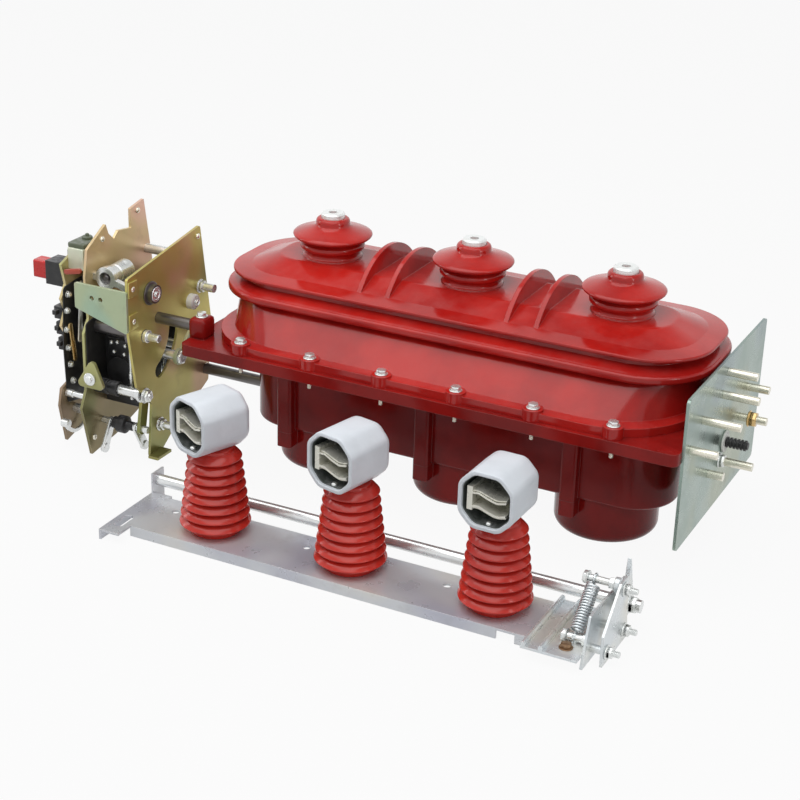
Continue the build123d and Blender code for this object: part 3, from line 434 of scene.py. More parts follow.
class Bench:
    """Modelling steps on fresh selections. Sizes are in millimetres, and shapes start at the origin along Z."""

    @staticmethod
    def clear() -> None:
        """Deselects everything in object mode."""
        bpy.ops.object.select_all(action="DESELECT")

    @staticmethod
    def take(piece: bpy.types.Object) -> None:
        """Makes one piece the only selected and active one."""
        Bench.clear()
        piece.select_set(True)
        bpy.context.view_layer.objects.active = piece

    @staticmethod
    def edit(piece: bpy.types.Object) -> None:
        """Opens a piece in edit mode with all of it selected."""
        Bench.take(piece)
        bpy.ops.object.mode_set(mode="EDIT")
        bpy.ops.mesh.select_mode(type="VERT")
        bpy.ops.mesh.select_all(action="SELECT")

    @staticmethod
    def done(piece: bpy.types.Object, angle: float = 32.0) -> bpy.types.Object:
        """Leaves edit mode with normals turned outwards and shading smooth below an angle.

        Args:
            piece: The piece in edit mode.
            angle: Edges sharper than this many degrees stay sharp.

        Returns:
            The same piece.
        """
        bpy.ops.mesh.select_all(action="SELECT")
        bpy.ops.mesh.remove_doubles(threshold=1e-6)
        bpy.ops.mesh.normals_make_consistent(inside=False)
        bpy.ops.object.mode_set(mode="OBJECT")
        bpy.ops.object.shade_smooth_by_angle(angle=radians(angle))
        return piece

    @staticmethod
    def drawn(name: str, outline: Profile, layers: Profile, angle: float = 32.0) -> bpy.types.Object:
        """Models a shape that follows one outline, wider or narrower from layer to layer.

        Args:
            name: The piece's name.
            outline: Corners of the full outline in order, round the origin.
            layers: Share of the outline and height of each layer, from the lower end to the upper one.
            angle: Edges sharper than this many degrees stay sharp.

        Returns:
            The closed piece.
        """
        Bench.clear()
        bpy.ops.mesh.primitive_circle_add(vertices=len(outline), radius=MM, fill_type="NGON")
        piece = bpy.context.object
        piece.name = name
        share, height = layers[0]
        for vertex, (x, y) in zip(piece.data.vertices, outline):
            vertex.co = (x * share * MM, y * share * MM, height * MM)
        Bench.edit(piece)
        for (inner, low), (outer, high) in zip(layers, layers[1:]):
            bpy.ops.mesh.extrude_region_move(TRANSFORM_OT_translate={"value": (0, 0, (high - low) * MM)})
            share = outer / inner
            bpy.ops.transform.resize(value=(share, share, 1), center_override=(0, 0, high * MM))
        return Bench.done(piece, angle)

    @staticmethod
    def turned(name: str, profile: Profile, sides: int = 48, angle: float = 32.0) -> bpy.types.Object:
        """Models a turned shape from the radius and height of its rings, from the lower end to the upper one."""
        circle = [(cos(2 * pi * k / sides), sin(2 * pi * k / sides)) for k in range(sides)]
        return Bench.drawn(name, circle, profile, angle)

    @staticmethod
    def soften(outline: Profile, radius: float, steps: int = 5) -> Profile:
        """Rounds the corners of an outline.

        Args:
            outline: Corners in order.
            radius: Radius of the corners.
            steps: Pieces of each arc.

        Returns:
            The rounded outline.
        """
        soft = []
        corners = [Vector(corner) for corner in outline]
        for before, here, after in zip(corners[-1:] + corners[:-1], corners, corners[1:] + corners[:1]):
            back, ahead = (before - here).normalized(), (after - here).normalized()
            half = back.angle(ahead) / 2
            centre = here + (back + ahead).normalized() * (radius / sin(half))
            start = here + back * (radius / tan(half)) - centre
            end = here + ahead * (radius / tan(half)) - centre
            soft += [tuple(centre + start.lerp(end, k / steps).normalized() * radius) for k in range(steps + 1)]
        return soft

    @staticmethod
    def block(name: str, size: Point, edge: float) -> bpy.types.Object:
        """Models a block with rounded edges, centred on the origin.

        Args:
            name: The piece's name.
            size: Sides along X, Y and Z.
            edge: Radius of the edges.

        Returns:
            The piece.
        """
        Bench.clear()
        bpy.ops.mesh.primitive_cube_add(size=MM)
        piece = bpy.context.object
        piece.name = name
        Bench.edit(piece)
        bpy.ops.transform.resize(value=size, center_override=(0, 0, 0))
        bpy.ops.mesh.bevel(offset=edge * MM, segments=3, affect="EDGES")
        return Bench.done(piece)

    @staticmethod
    def plate(name: str, outline: Profile, thickness: float, edge: float = 0.5) -> bpy.types.Object:
        """Models a flat plate on the XY plane from its outline, with rounded edges.

        Args:
            name: The piece's name.
            outline: Corners in order.
            thickness: Rise along Z.
            edge: Radius of the edges, or zero for sharp ones.

        Returns:
            The piece.
        """
        Bench.clear()
        bpy.ops.mesh.primitive_circle_add(vertices=len(outline), radius=MM, fill_type="NGON")
        piece = bpy.context.object
        piece.name = name
        for vertex, (x, y) in zip(piece.data.vertices, outline):
            vertex.co = (x * MM, y * MM, 0)
        Bench.edit(piece)
        bpy.ops.mesh.extrude_region_move(TRANSFORM_OT_translate={"value": (0, 0, thickness * MM)})
        bpy.ops.mesh.select_all(action="SELECT")
        if edge:
            bpy.ops.mesh.bevel(offset=edge * MM, segments=2, affect="EDGES")
        return Bench.done(piece)

    @staticmethod
    def capsule(length: float, radius: float) -> Profile:
        """Gives the outline of an arm with round ends, from the origin along X."""
        turns = [radians(15 * k) for k in range(13)]
        near = [(-radius * sin(turn), radius * cos(turn)) for turn in turns]
        return near + [(length + radius * sin(turn), -radius * cos(turn)) for turn in turns]

    @staticmethod
    def crescent(radius: float, width: float, angle: float) -> Profile:
        """Gives the outline of a curved lever round the origin that narrows to its end."""
        steps = 14
        outer, inner = [], []
        for k in range(steps + 1):
            turn = radians(angle * k / steps)
            half = width / 2 * (1 - 0.7 * k / steps)
            outer.append(((radius + half) * cos(turn), (radius + half) * sin(turn)))
            inner.append(((radius - half) * cos(turn), (radius - half) * sin(turn)))
        return outer + inner[::-1]

    @staticmethod
    def hexagon(name: str, across: float, height: float, bore: float = 0.0) -> bpy.types.Object:
        """Models a hexagon head or nut with chamfered corners, standing on the origin.

        Args:
            name: The piece's name.
            across: Width across the flats.
            height: Height of the head.
            bore: Radius of a nut's hole in its upper face, or zero for a bolt's head.

        Returns:
            The piece.
        """
        Bench.clear()
        bpy.ops.mesh.primitive_cylinder_add(vertices=6, radius=across / 3 ** 0.5 * MM, depth=height * MM,
                                            location=(0, 0, height / 2 * MM))
        piece = bpy.context.object
        piece.name = name
        bpy.ops.object.transform_apply(location=True, rotation=True, scale=True)
        Bench.edit(piece)
        bpy.ops.mesh.bevel(offset=across * 0.05 * MM, segments=2, affect="EDGES")
        if bore:
            bpy.ops.object.mode_set(mode="OBJECT")
            top = max(piece.data.polygons, key=lambda face: (face.center.z, face.area))
            for face in piece.data.polygons:
                face.select = face.index == top.index
            bpy.ops.object.mode_set(mode="EDIT")
            bpy.ops.mesh.select_mode(type="FACE")
            bpy.ops.mesh.inset(thickness=max(across / 2 - bore, 0.2) * MM * 0.9)
            bpy.ops.mesh.extrude_region_move(TRANSFORM_OT_translate={"value": (0, 0, -height * 0.3 * MM)})
        return Bench.done(piece)

    @staticmethod
    def coil(name: str, radius: float, wire: float, pitch: float, turns: int, steps: int = 28) -> bpy.types.Object:
        """Models a coil of round wire round Z that starts at the origin's height.

        Args:
            name: The piece's name.
            radius: Radius of the wire's centre line.
            wire: Radius of the wire.
            pitch: Rise of one turn.
            turns: Number of turns.
            steps: Sections in one turn.

        Returns:
            The piece with closed ends.
        """
        Bench.clear()
        bpy.ops.mesh.primitive_circle_add(vertices=10, radius=wire * MM, fill_type="NOTHING",
                                          location=(radius * MM, 0, 0), rotation=(pi / 2, 0, 0))
        piece = bpy.context.object
        piece.name = name
        bpy.ops.object.transform_apply(location=True, rotation=True, scale=True)
        screw = piece.modifiers.new("turns", "SCREW")
        screw.axis = "Z"
        screw.screw_offset = pitch * MM
        screw.iterations = turns
        screw.steps = steps
        screw.render_steps = steps
        screw.use_merge_vertices = False
        bpy.ops.object.modifier_apply(modifier=screw.name)
        Bench.edit(piece)
        bpy.ops.mesh.select_all(action="DESELECT")
        bpy.ops.mesh.select_non_manifold()
        bpy.ops.mesh.edge_face_add()
        return Bench.done(piece, 60.0)

    @staticmethod
    def hook(name: str, bend: float, wire: float, angle: float) -> bpy.types.Object:
        """Models an arc of round wire in the XZ plane round the origin.

        Args:
            name: The piece's name.
            bend: Radius of the arc's centre line.
            wire: Radius of the wire.
            angle: Length of the arc in degrees.

        Returns:
            The piece with closed ends.
        """
        Bench.clear()
        bpy.ops.mesh.primitive_circle_add(vertices=10, radius=wire * MM, fill_type="NGON",
                                          location=(bend * MM, 0, 0))
        piece = bpy.context.object
        piece.name = name
        bpy.ops.object.transform_apply(location=True, rotation=True, scale=True)
        Bench.edit(piece)
        bpy.ops.mesh.spin(steps=24, angle=radians(angle), center=(0, 0, 0), axis=(0, 1, 0))
        return Bench.done(piece, 60.0)

    @staticmethod
    def move(piece: bpy.types.Object, place: Matrix) -> bpy.types.Object:
        """Puts a finished piece in its place, in its mesh, and returns it."""
        piece.data.transform(place)
        piece.data.update()
        return piece

    @staticmethod
    def stand(point: Sequence[float], way: Way, turn: float = 0.0) -> Matrix:
        """Gives the place whose Z axis points along a direction.

        Args:
            point: Origin in millimetres.
            way: Direction of the Z axis.
            turn: Turn about that axis in degrees.

        Returns:
            The place as a matrix in metres.
        """
        aim = Vector(way.value).to_track_quat("Z", "Y").to_matrix().to_4x4()
        return Bench.at(point) @ aim @ Matrix.Rotation(radians(turn), 4, "Z")

    @staticmethod
    def at(point: Sequence[float]) -> Matrix:
        """Gives the unturned place at a point in millimetres."""
        return Matrix.Translation(Vector(point) * MM)

    @staticmethod
    def upright(point: Sequence[float], tilt: float = 0.0) -> Matrix:
        """Gives the place of a plate whose face looks along X, tilted in degrees from Y towards Z."""
        face = Matrix(((0, 0, 1), (1, 0, 0), (0, 1, 0))).to_4x4()
        return Bench.at(point) @ face @ Matrix.Rotation(radians(tilt), 4, "Z")

    @staticmethod
    def facing(point: Sequence[float], tilt: float = 0.0) -> Matrix:
        """Gives the place of a plate whose face looks along Y, tilted in degrees from X downwards."""
        face = Matrix(((1, 0, 0), (0, 0, 1), (0, -1, 0))).to_4x4()
        return Bench.at(point) @ face @ Matrix.Rotation(radians(tilt), 4, "Z")

    @staticmethod
    def join(name: str, pieces: Iterable[bpy.types.Object]) -> bpy.types.Object:
        """Joins pieces into one mesh.

        Args:
            name: Name of the joined piece.
            pieces: The pieces, which end as one.

        Returns:
            The joined piece.
        """
        group = list(pieces)
        Bench.take(group[0])
        for piece in group:
            piece.select_set(True)
        if len(group) > 1:
            bpy.ops.object.join()
        joined = bpy.context.view_layer.objects.active
        joined.name = name
        return joined

    @staticmethod
    def repeat(name: str, model: bpy.types.Object, places: Sequence[Matrix]) -> bpy.types.Object:
        """Copies a model to every place and joins the copies.

        Args:
            name: Name of the joined piece.
            model: The piece that is copied, which is used up.
            places: Where the copies go.

        Returns:
            The joined piece.
        """
        copies = []
        for place in places:
            copy = model.copy()
            copy.data = model.data.copy()
            bpy.context.collection.objects.link(copy)
            copies.append(Bench.move(copy, place))
        bpy.data.objects.remove(model)
        return Bench.join(name, copies)


@dataclass(frozen=True)
class Palette:
    """All finishes of the switch, made once."""

    finishes: Dict[str, bpy.types.Material] = field(default_factory=dict)

    def fill(self) -> "Palette":
        """Makes every material and keeps it under its short name."""
        for finish in (
            CastEpoxy("tank_red", (0.52, 0.017, 0.012), (0.38, 0.011, 0.009)),
            # painted shade: a darker copy of the tank's red, for the lower casting under the flange
            CastEpoxy("shaded_tank_red", (0.31, 0.010, 0.008), (0.20, 0.007, 0.006), gloss=0.14, specular=0.2,
                      dust_share=0.02),
            CastEpoxy("post_red", (0.66, 0.040, 0.026), (0.53, 0.027, 0.018), gloss=0.10, dust_share=0.06),
            PlatedSheet("plate_zinc", (0.27, 0.35, 0.31), (0.33, 0.37, 0.28), (0.23, 0.30, 0.30), gloss=0.24,
                        tint_scale=6.0),
            PlatedSheet("rail_zinc", (0.66, 0.68, 0.71), (0.76, 0.74, 0.68), (0.52, 0.53, 0.61), tint_scale=5.0,
                        metallic=0.4, gloss=0.26, worn_and_highlight=(0.82, 0.81, 0.77)),
            PlatedSheet("blue_zinc", (0.74, 0.79, 0.82), (0.82, 0.81, 0.75), (0.62, 0.70, 0.78), metallic=0.5,
                        gloss=0.24, worn_and_highlight=(0.86, 0.87, 0.86)),
            # gold_plate and pink_plate are painted darker towards the bottom, as shade
            PlatedSheet("gold_plate", (0.58, 0.50, 0.15), (0.68, 0.42, 0.26), (0.38, 0.42, 0.14), tint_scale=7.0,
                        low_shade_share=0.5, metallic=0.6, gloss=0.28, worn_and_highlight=(0.58, 0.53, 0.42)),
            PlatedSheet("pink_plate", (0.72, 0.55, 0.30), (0.82, 0.52, 0.40), (0.50, 0.50, 0.21), tint_scale=7.0,
                        low_shade_share=0.75, metallic=0.5, gloss=0.28, worn_and_highlight=(0.62, 0.57, 0.47)),
            PlatedSheet("pale_plate", (0.45, 0.53, 0.34), (0.52, 0.50, 0.33), (0.38, 0.52, 0.38), gloss=0.36,
                        metallic=0.45, worn_and_highlight=(0.74, 0.74, 0.66)),
            PlatedSheet("coil_cover", (0.72, 0.84, 0.68), (0.78, 0.80, 0.64), (0.65, 0.80, 0.71), metallic=0.1,
                        gloss=0.45),
            TurnedMetal("bright_bar", (0.80, 0.82, 0.82), (0.62, 0.60, 0.52), ring_depth=0.003, gloss=0.18,
                        metallic=0.7),
            TurnedMetal("stud_metal", (0.80, 0.77, 0.66), (0.60, 0.52, 0.34), ring_depth=0.003, gloss=0.20,
                        metallic=0.75),
            TurnedMetal("insert_metal", (0.86, 0.88, 0.87), (0.66, 0.62, 0.58), ring_axis="Z", ring_depth=0.004,
                        metallic=0.35, gloss=0.34),
            TurnedMetal("bolt_zinc", (0.76, 0.78, 0.77), (0.52, 0.50, 0.44), ring_depth=0.003, metallic=0.75),
            TurnedMetal("bolt_brown", (0.30, 0.19, 0.11), (0.15, 0.08, 0.05), ring_depth=0.003, gloss=0.36,
                        tarnish_share=0.5),
            TurnedMetal("bronze", (0.62, 0.44, 0.20), (0.42, 0.27, 0.10), ring_depth=0.003, gloss=0.2),
            TurnedMetal("spring_steel", (0.70, 0.74, 0.76), (0.46, 0.46, 0.44), ring_depth=0.002, gloss=0.24),
            TurnedMetal("dark_steel", (0.16, 0.15, 0.15), (0.09, 0.07, 0.05), ring_depth=0.006, gloss=0.30),
            TurnedMetal("silver_contact", (0.74, 0.73, 0.65), (0.54, 0.50, 0.40), ring_depth=0.002, gloss=0.24,
                        metallic=0.35),
            MouldedPlastic("black_plastic", (0.014, 0.014, 0.015), (0.07, 0.07, 0.07)),
            MouldedPlastic("olive_plastic", (0.10, 0.12, 0.075), (0.22, 0.25, 0.18)),
            MouldedPlastic("white_plastic", (0.80, 0.80, 0.76), (0.60, 0.58, 0.52)),
            MouldedPlastic("red_plastic", (0.66, 0.022, 0.020), (0.45, 0.04, 0.035), gloss=0.24),
            MouldedPlastic("brick_plastic", (0.50, 0.075, 0.04), (0.34, 0.08, 0.05), gloss=0.3),
            # painted shade: near-black for the inside of the shroud mouths
            MouldedPlastic("mouth_painted_shade", (0.060, 0.070, 0.064), (0.15, 0.165, 0.15), gloss=0.5),
            PaintedCasting("shroud_grey", (0.73, 0.77, 0.82), (0.56, 0.59, 0.63), (0.86, 0.90, 0.94)),
        ):
            self.finishes[finish.name] = finish.make()
        return self

    def __getitem__(self, name: str) -> bpy.types.Material:
        """Gives one finish by its name."""
        return self.finishes[name]


@dataclass
class Assembly:
    """Part of the switch that is modelled and dressed in one go, with the finishes for it."""

    palette: Palette

    def fit(self, piece: bpy.types.Object, slot: str, finish: str, body: Body = Body.SWITCH) -> bpy.types.Object:
        """Gives a piece its finish and the body that it rides on.

        Args:
            piece: The finished piece, in its place.
            slot: The record's material slot; not used.
            finish: Name of the finish.
            body: The body that carries it.

        Returns:
            The same piece.
        """
        piece.data.materials.clear()
        piece.data.materials.append(self.palette[finish])
        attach(piece, body.value)
        LOG.info("%s: %d faces on %s", piece.name, len(piece.data.polygons), body.value)
        return piece

    def dress(self, finish: str, *nodes: str) -> None:
        """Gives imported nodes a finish.

        Args:
            finish: Name of the finish.
            nodes: The nodes that take it.
        """
        for node in nodes:
            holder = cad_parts[node]
            if not holder.material_slots:
                holder.data.materials.append(self.palette[finish])
            for slot in holder.material_slots:
                slot.material = self.palette[finish]


@dataclass(frozen=True)
class Fastener:
    """Small hardware in one size: hexagon bolts and nuts on washers, and rounded heads."""

    across: float = 13.0
    height: float = 5.5
    washer_radius: float = 9.0
    washer: float = 1.6
    shank: float = 4.0
    end: float = 6.0

    def washer_piece(self, name: str) -> bpy.types.Object:
        """Models the washer with a rounded rim."""
        rim = self.washer / 3
        outer = self.washer_radius
        return Bench.turned(name + "_washer", [(outer - rim, 0), (outer, rim), (outer, self.washer - rim),
                                               (outer - rim, self.washer)], 24)

    def bolt(self, name: str) -> bpy.types.Object:
        """Models a hexagon head on its washer."""
        head = Bench.hexagon(name, self.across, self.height)
        lift = Matrix.Translation((0, 0, self.washer * MM))
        return Bench.join(name, [Bench.move(head, lift), self.washer_piece(name)])

    def nut(self, name: str) -> bpy.types.Object:
        """Models a nut on its washer with the threaded end standing out."""
        nut = Bench.hexagon(name, self.across, self.height, self.shank)
        lift = Matrix.Translation((0, 0, self.washer * MM))
        top = self.washer + self.height + self.end
        rings = [(self.shank - 0.4, self.washer)]
        turns = max(2, int((top - self.washer) / 1.6))
        pitch = (top - self.washer) / turns
        for k in range(turns):
            low = self.washer + k * pitch
            rings += [(self.shank - 0.5, low + pitch * 0.15), (self.shank, low + pitch * 0.55)]
        rings.append((self.shank - 0.9, top))
        thread = Bench.turned(name + "_thread", rings, 20)
        return Bench.join(name, [Bench.move(nut, lift), self.washer_piece(name), thread])

    def dome(self, name: str) -> bpy.types.Object:
        """Models a rounded head, such as a rivet's or a cap nut's."""
        steps = 6
        rings = [(self.shank, 0.0)]
        for k in range(steps):
            turn = radians(88 * k / (steps - 1))
            rings.append((max(self.shank * cos(turn), 0.2), self.height * 0.3 + self.height * 0.7 * sin(turn)))
        return Bench.turned(name, rings, 24, 60.0)


@dataclass(frozen=True)
class Block:
    """Small block with rounded edges, at an offset from the point that it is put by."""

    name: str
    size: Point
    edge: float
    offset: Point = (0.0, 0.0, 0.0)

    def put(self, anchor: Sequence[float]) -> bpy.types.Object:
        """Models the block and puts it by a point."""
        return Bench.move(Bench.block(self.name, self.size, self.edge), Bench.at(Vector(anchor) + Vector(self.offset)))


@dataclass(frozen=True)
class Turning:
    """Small turned piece along one direction: sides of its circle, and radius and height of its rings."""

    name: str
    sides: int
    rings: Pairs
    way: Way = Way.RIGHT
    offset: Point = (0.0, 0.0, 0.0)

    def put(self, anchor: Sequence[float]) -> bpy.types.Object:
        """Models the piece and puts it by a point."""
        place = Bench.stand(Vector(anchor) + Vector(self.offset), self.way)
        return Bench.move(Bench.turned(self.name, self.rings, self.sides), place)


@dataclass(frozen=True)
class Strap:
    """Flat arm with round ends, upright along the plates or facing the back."""

    name: str
    length: float
    radius: float
    thickness: float
    tilt: float = 0.0
    offset: Point = (0.0, 0.0, 0.0)
    edge: float = 0.5
    faces_back: bool = False

    def put(self, anchor: Sequence[float]) -> bpy.types.Object:
        """Models the arm and puts its first end by a point."""
        arm = Bench.plate(self.name, Bench.capsule(self.length, self.radius), self.thickness, self.edge)
        point = Vector(anchor) + Vector(self.offset)
        return Bench.move(arm, (Bench.facing if self.faces_back else Bench.upright)(point, self.tilt))


@dataclass
class Tank(Assembly):
    """Cast tank: its finishes, the shed bushings, the flange bolts with their ends below, and the corner bosses."""

    bolt_pitch: float = 105.0
    bolts_per_side: int = 6
    bolt_row: float = 155.0
    seat_top: float = 213.5
    flange_under: float = 183.0
    bushing_rings: Pairs = (
        (41.5, 0.0), (39.2, 1.2), (38.0, 3.0), (37.5, 5.5), (38.2, 8.0), (40.0, 9.8), (42.6, 10.9), (43.8, 12.6),
        (44.0, 15.0), (43.6, 17.4), (42.2, 18.9), (39.6, 20.2), (38.0, 22.0), (38.6, 23.6), (41.0, 24.4),
        (48.0, 24.8), (51.6, 26.2), (53.4, 27.9), (54.0, 29.3), (53.7, 30.4), (52.6, 31.4), (48.0, 33.0),
        (40.0, 35.6), (32.0, 38.2), (27.4, 39.9), (25.2, 41.1), (23.8, 42.4), (23.3, 44.0), (23.2, 46.2), (22.9, 48.4),
        (22.0, 50.3), (20.6, 51.5), (19.0, 52.0), (16.7, 52.0), (16.3, 51.6), (16.2, 48.0))
    corner: Point = (-339.0, 130.0, 212.8)
    boss: Block = Block("corner_boss", (26.0, 30.6, 29.2), 6.0)
    head: Fastener = Fastener(12.0, 4.6, 8.6, 1.5)
    tail: Fastener = Fastener(9.0, 4.0, 6.0, 1.2, 3.0, 7.0)

    def bolt_line(self) -> List[float]:
        """Gives the X places of one row of bolts."""
        return [(k - (self.bolts_per_side - 1) / 2) * self.bolt_pitch for k in range(self.bolts_per_side)]

    def build(self) -> None:
        """Builds the fasteners and dresses the castings."""
        self.dress("tank_red", "upper_shell", "bushings")
        # painted shade: the lower casting takes the darker copy of the red
        self.dress("shaded_tank_red", "lower_shell", "bells")
        self.dress("insert_metal", "top_terminals", "bottom_terminals")
        box = NodeBox.of("bushings")
        reach = box.high.x - box.middle.x - max(radius for radius, _ in self.bushing_rings)
        places = [Bench.at((x, box.middle.y, box.low.z)) for x in (-reach, 0.0, reach)]
        bushing = Bench.turned("bushing", self.bushing_rings, 80, 40.0)
        bushings = self.fit(Bench.repeat("bushing_castings", bushing, places), "epoxy_upper", "tank_red")
        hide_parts("bushings")
        seats = [(x, y) for y in (-self.bolt_row, self.bolt_row) for x in self.bolt_line()]
        heads = [Bench.stand((x, y, self.seat_top), Way.UP, 37 * k) for k, (x, y) in enumerate(seats)]
        x, y, z = self.corner
        top = z + self.boss.size[2] / 2
        heads += [Bench.stand((x, side * y, top), Way.UP, 20 * side) for side in (-1, 1)]
        bosses = [self.boss.put((x, side * y, z)) for side in (-1, 1)]
        # the corner bosses take the darker red too, as painted shade
        self.fit(Bench.join("corner_bosses", bosses), "epoxy_lower", "shaded_tank_red")
        tails = [Bench.stand((x, y, self.flange_under), Way.DOWN, 23 * k) for k, (x, y) in enumerate(seats)]
        self.fit(Bench.repeat("flange_bolts", self.head.bolt("flange_bolt"), heads), "stud", "bolt_zinc")
        self.fit(Bench.repeat("flange_nuts", self.tail.nut("flange_nut"), tails), "stud", "stud_metal")


@dataclass
class EndPlate(Assembly):
    """Stud plate at the right end: bare studs, one small nut and one of bronze."""

    y_shares: Tuple[float, ...] = (0.485, 0.800, 0.452, 0.735, 0.195, 0.065, 0.487, 0.345)
    z_shares: Tuple[float, ...] = (0.910, 0.625, 0.775, 0.450, 0.760, 0.645, 0.300, 0.300)
    bronze_index: int = 3
    small_index: int = 6
    bronze: Fastener = Fastener(18.0, 9.0, 11.0, 1.6, 6.2, 0.5)
    small: Fastener = Fastener(15.0, 6.0, 9.5, 1.6, 6.2, 0.5)
    bronze_stand: float = 12.0
    sleeve_rim: Turning = Turning("sleeve_rim", 40, ((13.4, 0), (14.4, 0.8), (14.4, 2.2), (13.4, 3.0), (12.2, 3.0)))

    def build(self) -> None:
        """Builds the nuts and dresses the plate."""
        self.dress("plate_zinc", "right_end_plate")
        self.dress("stud_metal", "end_plate_studs")
        self.dress("black_plastic", "interlock_sleeve")
        plate = NodeBox.of("right_end_plate")
        feet = [plate.at(1.0, y, z) for y, z in zip(self.y_shares, self.z_shares)]
        out = feet[self.bronze_index] + Vector((self.bronze_stand, 0, 0))
        self.fit(Bench.move(self.bronze.nut("bronze_nut"), Bench.stand(out, Way.RIGHT, 8)), "stud", "bronze")
        rim = self.sleeve_rim.put(NodeBox.of("interlock_sleeve").at(0, 0.5, 0.5))
        self.fit(rim, "white_plastic", "white_plastic")
        nut = Bench.move(self.small.nut("end_plate_nut"), Bench.stand(feet[self.small_index], Way.RIGHT, 20))
        self.fit(nut, "stud", "bolt_zinc")


